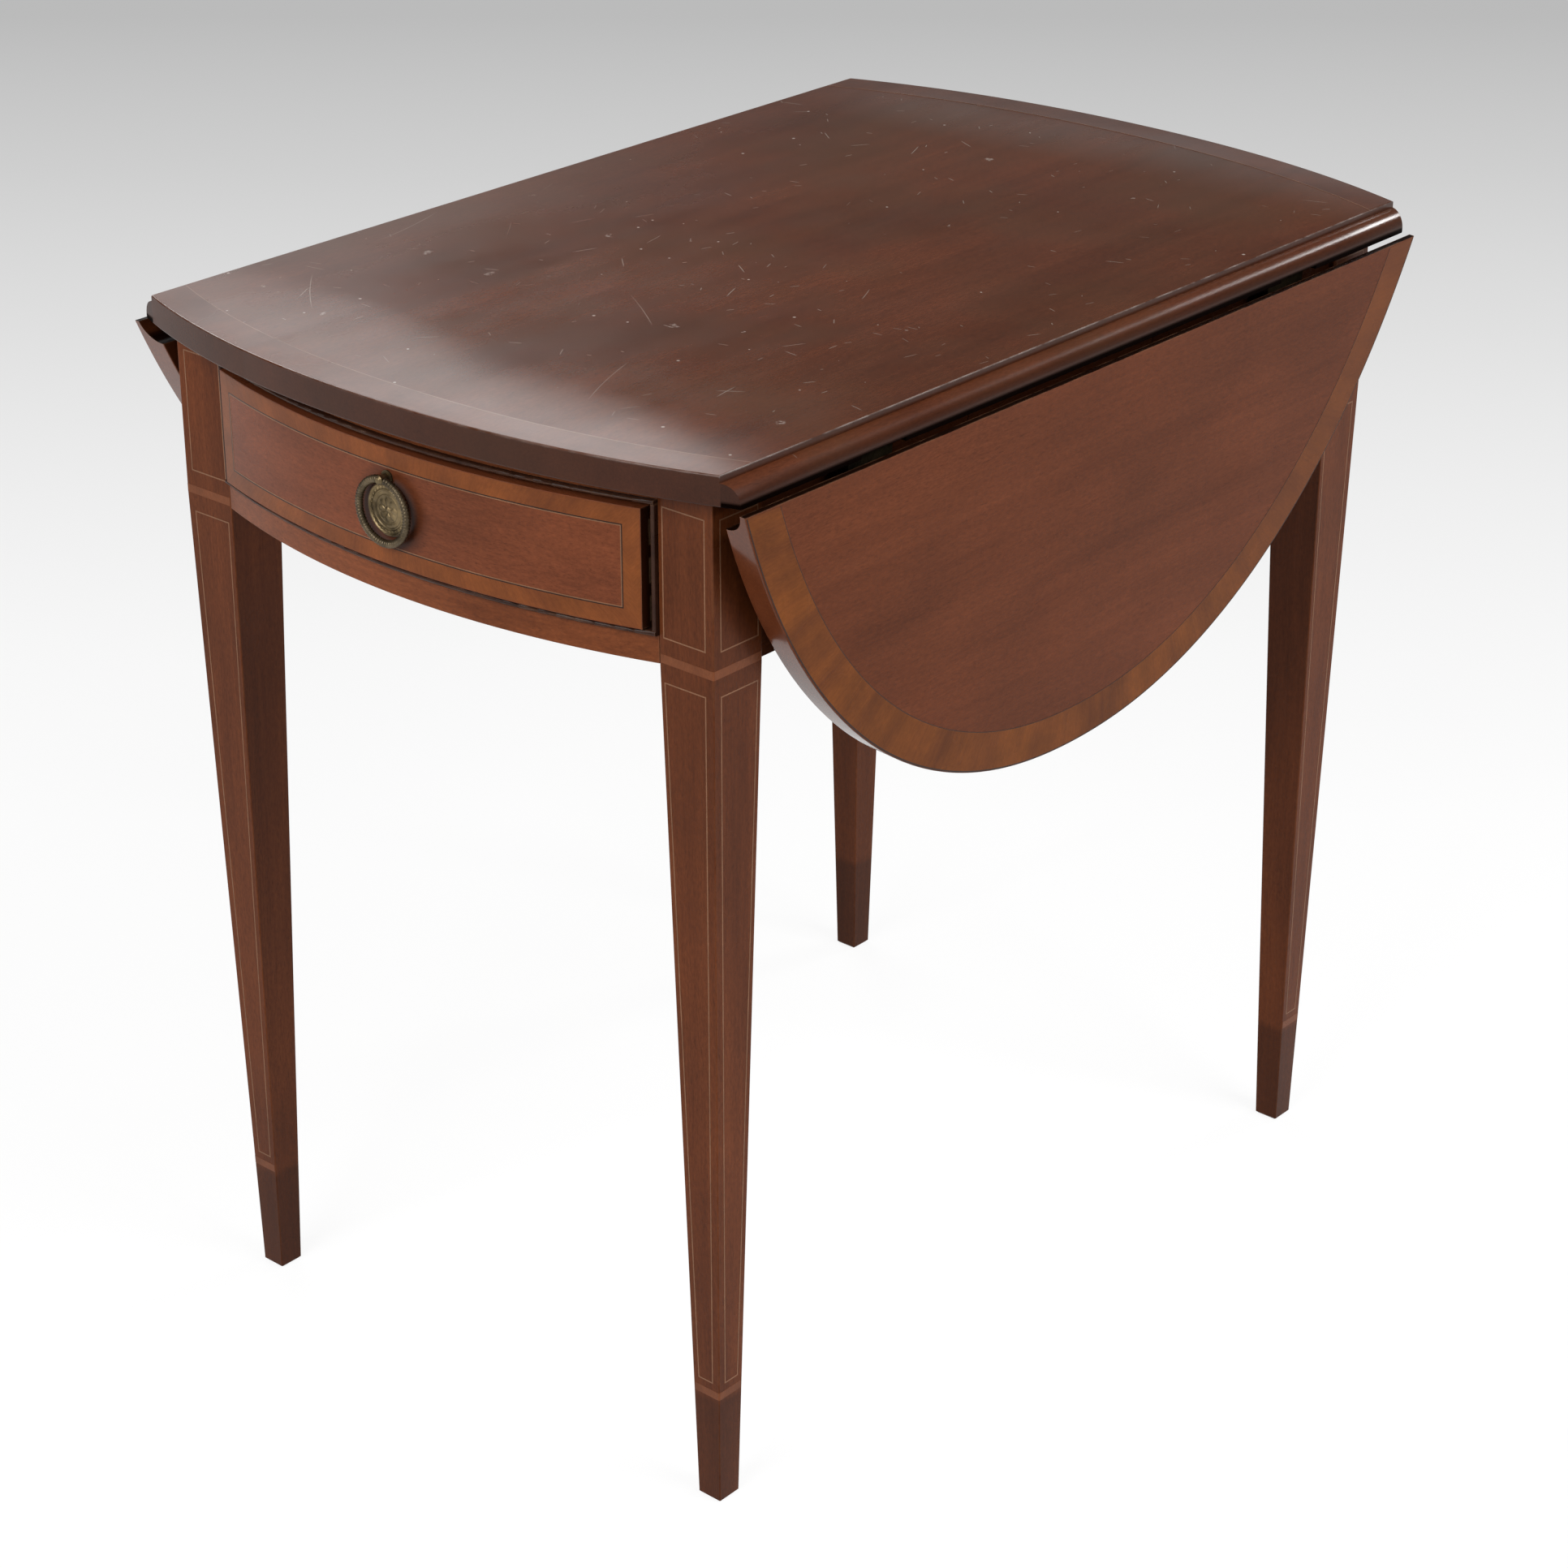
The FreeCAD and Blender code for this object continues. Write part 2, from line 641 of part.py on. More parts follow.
def knuckle_bore(grow):
    low = vec(KNUCKLE_X, FLY_PIVOT_Y, APRON_BOTTOM)
    return rod(KNUCKLE_PIN_RADIUS + grow, low, low + UP * (APRON_HEIGHT - FLY_GAP))


def fly_bracket():
    """Swinging bracket: deep at the knuckles, cut away below in an ogee towards its free end."""
    y_body = FLY_PIVOT_Y - KNUCKLE_CUT
    y_end = FLY_PIVOT_Y - FLY_LENGTH
    top = UNDERSIDE - FLY_GAP
    lip = UNDERSIDE - FLY_END_HEIGHT
    y_ogee_low = FLY_PIVOT_Y - FLY_FLAT_LENGTH
    y_ogee_high = y_end + FLY_LIP_LENGTH
    x_back = OUTER_RAIL_BACK + FLY_GAP
    corners = [(y_ogee_high, lip), (y_end, lip), (y_end, top), (y_body, top), (y_body, APRON_BOTTOM)]
    corners.append((y_ogee_low, APRON_BOTTOM))
    points = [vec(x_back, y, z) for y, z in corners]
    edges = [straight_edge(a, b) for a, b in zip(points, points[1:])]
    y_middle = (y_ogee_low + y_ogee_high) / 2
    ogee = Part.BezierCurve()
    ogee.setPoles([points[-1], vec(x_back, y_middle, APRON_BOTTOM), vec(x_back, y_middle, lip), points[0]])
    edges.append(ogee.toShape())
    board = Part.Face(Part.Wire(edges)).extrude(ALONG_X * (OUTER_RAIL_FACE - x_back))
    return joined([board] + knuckles(1, y_body)).cut(knuckle_bore(RUNNING_CLEARANCE))


def outer_rail_front():
    y_end = FLY_PIVOT_Y - FLY_LENGTH - FLY_GAP
    return box(OUTER_RAIL_BACK, OUTER_RAIL_FACE, -LEG_IN_Y, y_end, APRON_BOTTOM, UNDERSIDE)


def outer_rail_back():
    """Fixed board that carries the other knuckles."""
    y_body = FLY_PIVOT_Y + KNUCKLE_CUT
    board = box(OUTER_RAIL_BACK, OUTER_RAIL_FACE, y_body, LEG_IN_Y, APRON_BOTTOM, UNDERSIDE)
    return joined([board] + knuckles(0, y_body)).cut(knuckle_bore(RUNNING_CLEARANCE))


# Drawer supports and fixings


def runner():
    outer = SIDE_RAIL_INNER
    y_back = RUNNER_BACK_Y
    bed_low = OPENING_BOTTOM - RUNNER_THICK
    bed = box(outer - RUNNER_WIDTH, outer, RAIL_BACK_Y, y_back, bed_low, OPENING_BOTTOM)
    guide_top = OPENING_BOTTOM + GUIDE_HEIGHT
    guide = box(DRAWER_HALF + GUIDE_GAP, outer, RAIL_BACK_Y, y_back, OPENING_BOTTOM, guide_top)
    return joined([bed, guide])


def top_screws(grow):
    """Screws up through the kickers into the top."""
    screws = []
    base = UNDERSIDE - KICKER_THICK
    head_depth = TOP_SCREW_HEAD - TOP_SCREW_RADIUS
    x = SIDE_RAIL_INNER - RUNNER_WIDTH / 2
    first = RAIL_BACK_Y + TOP_SCREW_END_GAP
    last = RUNNER_BACK_Y - TOP_SCREW_END_GAP
    for side in (-1, 1):
        for y in (first, (first + last) / 2, last):
            foot = vec(side * x, y, base)
            head = Part.makeCone(TOP_SCREW_HEAD + grow, TOP_SCREW_RADIUS + grow, head_depth, foot)
            shank = rod(TOP_SCREW_RADIUS + grow, foot, foot + UP * (KICKER_THICK + TOP_SCREW_BITE + grow))
            screws.append(joined([head, shank]))
    return screws


def kicker():
    outer = SIDE_RAIL_INNER
    low = UNDERSIDE - KICKER_THICK
    strip = box(outer - RUNNER_WIDTH, outer, RAIL_BACK_Y, RUNNER_BACK_Y, low, UNDERSIDE)
    for screw in top_screws(RUNNING_CLEARANCE):
        strip = strip.cut(screw)
    return strip


def drawer_stops():
    """Small blocks on the front rail that the shut drawer front meets."""
    y_front = bow_y(FACE_BACK_RADIUS, STOP_X + STOP_LENGTH / 2) + RUNNER_GAP
    top = OPENING_BOTTOM + STOP_HEIGHT
    stops = []
    for x in (-STOP_X, STOP_X):
        half = STOP_LENGTH / 2
        stops.append(box(x - half, x + half, y_front, y_front + STOP_DEPTH, OPENING_BOTTOM, top))
    return stops


def glue_blocks():
    """Rubbed blocks in the angle of the back rail and the top."""
    inside = BOW_RADIUS - BACK_RAIL_THICK - FITTED_GAP
    low = UNDERSIDE - BLOCK_SIZE
    blocks = []
    for x in (-BLOCK_X, BLOCK_X):
        half = BLOCK_LENGTH / 2
        y_face = bow_y(inside, BLOCK_X - half) + BLOCK_SIZE
        blank = box(x - half, x + half, -LENGTH, y_face, low, UNDERSIDE)
        blocks.append(mirror_y(blank.common(bow_disc(inside, low, UNDERSIDE))))
    return blocks


# Drawer


def side_seat_y():
    """Where the flat ends of the drawer sides meet the front."""
    return bow_y(FACE_BACK_RADIUS, DRAWER_INNER)


def tails():
    """Half-blind dovetail tails on the front end of the right drawer side."""
    root_y = side_seat_y()
    tip_y = root_y - TAIL_LENGTH
    middle = (SIDE_BOTTOM + SIDE_TOP) / 2
    shapes = []
    for index in range(TAIL_COUNT):
        z = middle + (index - (TAIL_COUNT - 1) / 2) * TAIL_PITCH
        profile = [(root_y, z - TAIL_ROOT / 2), (tip_y, z - TAIL_TIP / 2), (tip_y, z + TAIL_TIP / 2)]
        profile.append((root_y, z + TAIL_ROOT / 2))
        shapes.append(prism([vec(DRAWER_INNER, y, h) for y, h in profile], ALONG_X * DRAWER_SIDE_THICK))
    return shapes


def drawer_back_y():
    return bow_y(FACE_RADIUS, DRAWER_HALF) + DRAWER_DEPTH


def drawer_front():
    ring = bow_disc(FACE_RADIUS, FRONT_BOTTOM, FRONT_TOP)
    ring = ring.cut(bow_disc(FACE_BACK_RADIUS, FRONT_BOTTOM, FRONT_TOP))
    front = ring.common(box(-DRAWER_HALF, DRAWER_HALF, -LENGTH, 0, FRONT_BOTTOM, FRONT_TOP))
    seat = box(DRAWER_INNER, DRAWER_HALF, side_seat_y(), 0, FRONT_BOTTOM, FRONT_TOP)
    for cut in [seat] + tails():
        front = front.cut(cut).cut(mirror_x(cut))
    groove = box(-DRAWER_INNER, DRAWER_INNER, -LENGTH, 0, PANEL_BOTTOM, PANEL_TOP)
    front = front.cut(groove.common(bow_disc(FACE_BACK_RADIUS + GROOVE_DEPTH, PANEL_BOTTOM, PANEL_TOP)))
    shank_hole = rod(SHANK_RADIUS + FITTED_GAP, vec(0, -LENGTH, PIVOT_Z), vec(0, 0, PIVOT_Z))
    stud_hole = rod(SHANK_RADIUS + FITTED_GAP, vec(0, -LENGTH, PULL_Z), vec(0, rosette_stud_end(), PULL_Z))
    return front.cut(shank_hole).cut(stud_hole)


def drawer_side():
    side = box(DRAWER_INNER, DRAWER_HALF, side_seat_y(), drawer_back_y(), SIDE_BOTTOM, SIDE_TOP)
    groove_out = DRAWER_INNER + GROOVE_DEPTH
    side = side.cut(box(DRAWER_INNER, groove_out, side_seat_y(), drawer_back_y(), PANEL_BOTTOM, PANEL_TOP))
    return joined([side] + tails())


def drawer_back():
    y = drawer_back_y()
    top = SIDE_TOP - DRAWER_BACK_DROP
    return box(-DRAWER_INNER, DRAWER_INNER, y - DRAWER_BACK_THICK, y, PANEL_TOP, top)


def drawer_bottom():
    tongue_radius = FACE_BACK_RADIUS + GROOVE_DEPTH - FITTED_GAP
    grooved = DRAWER_INNER + GROOVE_DEPTH - FITTED_GAP
    panel = box(-grooved, grooved, side_seat_y(), drawer_back_y(), PANEL_BOTTOM, PANEL_TOP)
    nose = box(-DRAWER_INNER, DRAWER_INNER, -LENGTH, side_seat_y(), PANEL_BOTTOM, PANEL_TOP)
    return joined([panel, nose.common(bow_disc(tongue_radius, PANEL_BOTTOM, PANEL_TOP))])


# Ring pull


def turned(profile, z):
    """Revolves (radius, stand) pairs about a line square to the drawer face, stand measured outwards."""
    points = [vec(radius, FACE_APEX_Y - stand, z) for radius, stand in profile]
    wire = Part.makePolygon(points + points[:1])
    return Part.Face(wire).revolve(vec(0, 0, z), ALONG_Y, 360)


def rosette_stud_end():
    return FACE_APEX_Y + DRAWER_FRONT_THICK / 2


def pull_rosette():
    """Round plate with raised rings, bitten out for the post, with a stud into the drawer front."""
    stud = -DRAWER_FRONT_THICK / 2
    profile = [(0, ROSETTE_RISE), (ROSETTE_BOSS_RADIUS, ROSETTE_RIM)]
    for radius in (ROSETTE_INNER_RING, ROSETTE_OUTER_RING):
        profile.append((radius - ROSETTE_RING_HALF, ROSETTE_RIM))
        profile.append((radius, ROSETTE_RING_RISE))
        profile.append((radius + ROSETTE_RING_HALF, ROSETTE_RIM))
    profile += [(ROSETTE_RADIUS, ROSETTE_EDGE), (ROSETTE_RADIUS, 0)]
    profile += [(SHANK_RADIUS, 0), (SHANK_RADIUS, stud), (0, stud)]
    bite = rod(POST_COLLAR_RADIUS + FITTED_GAP, vec(0, -LENGTH, PIVOT_Z), vec(0, 0, PIVOT_Z))
    return turned(profile, PULL_Z).cut(bite)


def pull_post():
    """Stud with a collar and a cross hole for the ring's pivots, bolted through the drawer front."""
    collar = POST_COLLAR_THICK
    nose = RING_STAND + POST_NOSE
    shank = -DRAWER_FRONT_THICK - NUT_THICK
    profile = [(0, nose), (POST_RADIUS - POST_CHAMFER, nose), (POST_RADIUS, nose - POST_CHAMFER)]
    profile += [(POST_RADIUS, collar), (POST_COLLAR_RADIUS, collar), (POST_COLLAR_RADIUS, 0)]
    profile += [(SHANK_RADIUS, 0), (SHANK_RADIUS, shank), (0, shank)]
    reach = vec(POST_COLLAR_RADIUS, 0, 0)
    middle = vec(0, RING_Y, PIVOT_Z)
    bore = rod(PIVOT_PIN_RADIUS + RUNNING_CLEARANCE, middle - reach, middle + reach)
    return turned(profile, PIVOT_Z).cut(bore)


def pull_nut():
    """Hexagon nut inside the drawer."""
    y_seat = bow_y(FACE_BACK_RADIUS, NUT_RADIUS)
    corners = []
    for index in range(6):
        angle = math.radians(60 * index)
        corners.append(vec(NUT_RADIUS * math.cos(angle), y_seat, PIVOT_Z + NUT_RADIUS * math.sin(angle)))
    nut = prism(corners, ALONG_Y * NUT_THICK)
    return nut.cut(rod(SHANK_RADIUS + RUNNING_CLEARANCE, vec(0, y_seat, PIVOT_Z), vec(0, 0, PIVOT_Z)))


def pull_ring():
    """Open ring whose two ends pivot in the post."""
    centre = vec(0, RING_Y, PULL_Z)
    gap = POST_RADIUS + RING_END_GAP
    half_turn = math.degrees(math.asin(gap / RING_RADIUS))
    section = Part.Face(Part.Wire(Part.makeCircle(RING_WIRE, vec(0, RING_Y, PIVOT_Z), ALONG_X)))
    section.rotate(centre, ALONG_Y, half_turn)
    ring = section.revolve(centre, ALONG_Y, 360 - 2 * half_turn)
    pivots = []
    for side in (-1, 1):
        inner = vec(side * RING_END_GAP, RING_Y, PIVOT_Z)
        outer = vec(side * (gap + RING_WIRE), RING_Y, PIVOT_Z)
        pivots.append(rod(PIVOT_PIN_RADIUS, inner, outer))
    return joined([ring] + pivots)


def main():
    os.makedirs("parts", exist_ok=True)

    save("top_board", top_board())
    save_pair("leaf_board", lowered(leaf_board()))

    save_group("hinge_top_plates_right", top_hinge_plates())
    save_group("hinge_top_plates_left", [mirror_x(plate) for plate in top_hinge_plates()])
    save_group("hinge_pins_right", hinge_pins())
    save_group("hinge_pins_left", [mirror_x(pin) for pin in hinge_pins()])
    screws = top_plate_screws(0)
    save_group("hinge_top_screws", screws + [mirror_x(screw) for screw in screws])
    plates = [lowered(plate) for plate in leaf_hinge_plates()]
    save_group("hinge_leaf_plates_right", plates)
    save_group("hinge_leaf_plates_left", [mirror_x(plate) for plate in plates])
    screws = [lowered(screw) for screw in leaf_plate_screws(0)]
    save_group("hinge_leaf_screws_right", screws)
    save_group("hinge_leaf_screws_left", [mirror_x(screw) for screw in screws])

    save_pair("leg_front", front_leg())
    save_pair("leg_back", back_leg())
    save_pair("side_rail", side_rail())
    save_pair("outer_rail_front", outer_rail_front())
    save_pair("outer_rail_back", outer_rail_back())
    save_pair("fly_bracket", fly_bracket())
    save_pair("fly_pin", knuckle_bore(0))
    save("back_rail", back_rail())
    save("front_rail", front_rail())
    save("top_rail", top_rail())
    save("bead_top", top_bead())
    save("bead_bottom", bottom_bead())
    save_pair("bead", side_bead())

    save_pair("drawer_runner", runner())
    save_pair("drawer_kicker", kicker())
    save_group("drawer_stops", drawer_stops())
    save_group("glue_blocks", glue_blocks())
    save_group("top_screws", top_screws(0))

    save("drawer_front", drawer_front())
    save_pair("drawer_side", drawer_side())
    save("drawer_back", drawer_back())
    save("drawer_bottom", drawer_bottom())
    save("pull_rosette", pull_rosette())
    save("pull_post", pull_post())
    save("pull_nut", pull_nut())
    save("pull_ring", pull_ring())


main()
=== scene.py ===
"""Looks of an oval drop-leaf table: polished mahogany, string inlay, crossbanding and aged brass."""
import logging
import math
from dataclasses import dataclass, replace
from enum import Enum
from functools import reduce
from typing import Callable, Optional, Sequence, Union

import bmesh
import bpy
from mathutils import Matrix, Vector


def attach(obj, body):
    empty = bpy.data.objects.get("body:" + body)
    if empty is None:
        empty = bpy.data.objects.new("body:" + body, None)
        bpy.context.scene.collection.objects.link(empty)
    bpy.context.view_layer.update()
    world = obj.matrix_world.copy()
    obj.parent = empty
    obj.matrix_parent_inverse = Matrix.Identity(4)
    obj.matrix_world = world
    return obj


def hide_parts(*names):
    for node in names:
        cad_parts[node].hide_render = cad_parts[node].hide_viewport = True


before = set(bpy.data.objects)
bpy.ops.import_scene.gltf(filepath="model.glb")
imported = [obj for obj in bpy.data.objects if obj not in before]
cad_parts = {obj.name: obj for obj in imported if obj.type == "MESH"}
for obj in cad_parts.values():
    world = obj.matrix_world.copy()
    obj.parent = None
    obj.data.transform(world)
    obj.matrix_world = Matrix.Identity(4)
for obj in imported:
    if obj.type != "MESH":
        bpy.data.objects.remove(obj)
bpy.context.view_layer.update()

log = logging.getLogger("table")

Pair = tuple[float, float]
Triple = tuple[float, float, float]
Socket = bpy.types.NodeSocket
Sockets = bpy.types.bpy_prop_collection
Value = Union[float, Socket]
Tone = Union[Triple, Socket]

MM = 0.001
TURN = 2 * math.pi
UP = Vector((0.0, 0.0, 1.0))
PROUD = 0.10 * MM
SUNK = 0.30 * MM
WOOD_ARRIS = 1.6 * MM
BRASS_ARRIS = 0.6 * MM
TINY = 1e-9


def scaled(values: Sequence[float], factor: float) -> tuple[float, ...]:
    """Every value times a factor."""
    return tuple(value * factor for value in values)


class Axis(Enum):
    """Which way the grain runs in a piece, as the order in which its axes are read."""

    X = "XYZ"
    Y = "YXZ"
    Z = "ZXY"


class Way(Enum):
    """A direction of the table."""

    @property
    def word(self) -> str:
        """The direction's name as the nodes spell it."""
        return self.name.lower()


class Side(Way):
    """Left or right half of the table."""

    LEFT = -1
    RIGHT = 1


class End(Way):
    """The drawer end or the plain end of the table."""

    FRONT = -1
    BACK = 1


class Graph:
    """Adds nodes to one node tree and links them."""

    def __init__(self, tree: bpy.types.NodeTree) -> None:
        """Takes a node tree and empties it."""
        self.tree = tree
        tree.nodes.clear()

    def raw(self, kind: str, inputs: Optional[dict] = None, **settings: object) -> bpy.types.Node:
        """Adds a node by its full type name.

        Args:
            kind: Full type name of the node.
            inputs: Values or sockets by the name or number of the input.
            settings: Properties of the node, which are set first.

        Returns:
            The new node.
        """
        node = self.tree.nodes.new(kind)
        for key, value in settings.items():
            setattr(node, key, value)
        for key, value in (inputs or {}).items():
            socket = node.inputs[key]
            if isinstance(value, Socket):
                self.tree.links.new(value, socket)
            elif socket.type == "RGBA":
                socket.default_value = (*value, 1.0)
            else:
                socket.default_value = value
        return node

    def add(self, kind: str, inputs: Optional[dict] = None, **settings: object) -> bpy.types.Node:
        """Adds a shader node by the last part of its type name."""
        return self.raw("ShaderNode" + kind, inputs, **settings)

    def math(self, operation: str, a: Value, b: Value = 0.0, clamp: bool = False) -> Socket:
        """One arithmetic step."""
        return self.add("Math", {0: a, 1: b}, operation=operation, use_clamp=clamp).outputs[0]

    def times(self, *factors: Value) -> Socket:
        """The product of several values."""
        return reduce(lambda a, b: self.math("MULTIPLY", a, b), factors)

    def plus(self, *terms: Value) -> Socket:
        """The sum of several values."""
        return reduce(lambda a, b: self.math("ADD", a, b), terms)

    def most(self, *values: Value) -> Socket:
        """The greatest of several values."""
        return reduce(lambda a, b: self.math("MAXIMUM", a, b), values)

    def vector(self, operation: str, a: Tone, b: Tone = (0.0, 0.0, 0.0)) -> Socket:
        """One step of vector arithmetic, which gives a number for lengths and dot products."""
        node = self.add("VectorMath", {0: a, 1: b}, operation=operation)
        return node.outputs[1 if operation in ("LENGTH", "DOT_PRODUCT") else 0]

    def parts(self, vector: Socket) -> Sockets:
        """The three parts of a vector."""
        return self.add("SeparateXYZ", {0: vector}).outputs

    def joined(self, *parts: Value) -> Socket:
        """A vector from its parts."""
        return self.add("CombineXYZ", dict(enumerate(parts))).outputs[0]

    def place(self, kind: str = "Object") -> Socket:
        """The place on the piece in metres, or another of its coordinates."""
        return self.add("TexCoord").outputs[kind]

    def mix(self, share: Value, a: Tone, b: Tone, blend: str = "MIX") -> Socket:
        """Mixes a share of the second colour into the first."""
        return self.add("Mix", {0: share, 6: a, 7: b}, data_type="RGBA", blend_type=blend).outputs[2]

    def shaded(self, tone: Tone, *factors: Value) -> Socket:
        """A colour made darker or lighter by several factors."""
        return self.mix(1.0, tone, self.times(*factors), "MULTIPLY")

    def span(self, value: Value, low: float, high: float, to_low: float = 0.0, to_high: float = 1.0) -> Socket:
        """Maps one range of a value onto another and stays inside it."""
        ends = {"From Min": low, "From Max": high, "To Min": to_low, "To Max": to_high}
        return self.add("MapRange", {"Value": value, **ends}, clamp=True).outputs[0]

    def ranged(self, mask: Socket, low: float, high: float) -> Socket:
        """Maps a mask onto a range."""
        return self.span(mask, 0.0, 1.0, low, high)

    def bump(self, height: Socket, strength: float, depth: float, sunk: bool = False, **inputs: Socket) -> Socket:
        """Normal of a relief that is raised or sunk by a depth in metres."""
        inputs.update({"Strength": strength, "Distance": depth, "Height": height})
        return self.add("Bump", inputs, invert=sunk).outputs[0]

    def stray(self, place: Socket, scale: float, detail: float, reach: Triple) -> Socket:
        """Moves a place about by noise, up to a reach along each axis."""
        noise = self.add("TexNoise", {"Vector": place, "Scale": scale, "Detail": detail}).outputs[1]
        return self.vector("ADD", place, self.vector("MULTIPLY", noise, reach))

    def group(self, tree: bpy.types.NodeTree, place: Socket, **inputs: Value) -> Sockets:
        """Places a group and gives its results by name."""
        return self.add("Group", {"Vector": place, **inputs}, node_tree=tree).outputs


@dataclass(frozen=True)
class Mottle:
    """Smooth noise, drawn out along the axes, and the part of its range that shows."""

    per_metre: Triple
    detail: float
    roughness: float = 0.5
    shown: Pair = (0.0, 1.0)
    strength: Pair = (0.0, 1.0)

    def on(self, graph: Graph, place: Socket) -> Socket:
        """Adds the noise to a graph.

        Args:
            graph: The graph.
            place: Socket of the place.

        Returns:
            The socket of its strength.
        """
        drawn = graph.vector("MULTIPLY", place, self.per_metre)
        inputs = {"Vector": drawn, "Scale": 1.0, "Detail": self.detail, "Roughness": self.roughness}
        return graph.span(graph.add("TexNoise", inputs).outputs[0], *self.shown, *self.strength)


BROAD_STREAKS = Mottle((3.0, 55.0, 55.0), 4.0, 0.55)
FINE_STREAKS = Mottle((11.0, 420.0, 420.0), 3.0, 0.6)
PORES = Mottle((150.0, 1900.0, 1900.0), 1.0, shown=(0.60, 0.74))
CLOUDS = Mottle((5.0, 8.0, 8.0), 2.0, 0.6, (0.30, 0.70))
TOOTH = Mottle((230.0, 640.0, 640.0), 2.0, 0.7, (0.30, 0.70))
RUBBING = Mottle((45.0, 45.0, 45.0), 3.0, 0.65, (0.38, 0.62))
FILM = Mottle((6.5, 6.5, 6.5), 4.0, 0.62, (0.34, 0.66))
BLOTCHES = Mottle((38.0, 38.0, 38.0), 3.0, 0.6, (0.36, 0.64))
WAVES = Mottle((11.0, 7.7, 11.0), 2.0, 0.45)
PATINA = Mottle((5.5, 5.5, 5.5), 3.0, 0.6, (0.42, 0.66), (0.0, 0.55))
WORN_PLACES = Mottle((7.0, 7.0, 7.0), 2.0, 0.5, (0.36, 0.62), (0.2, 1.0))
FLECKS = Mottle((420.0, 420.0, 420.0), 2.0, 0.5, (0.40, 0.60))


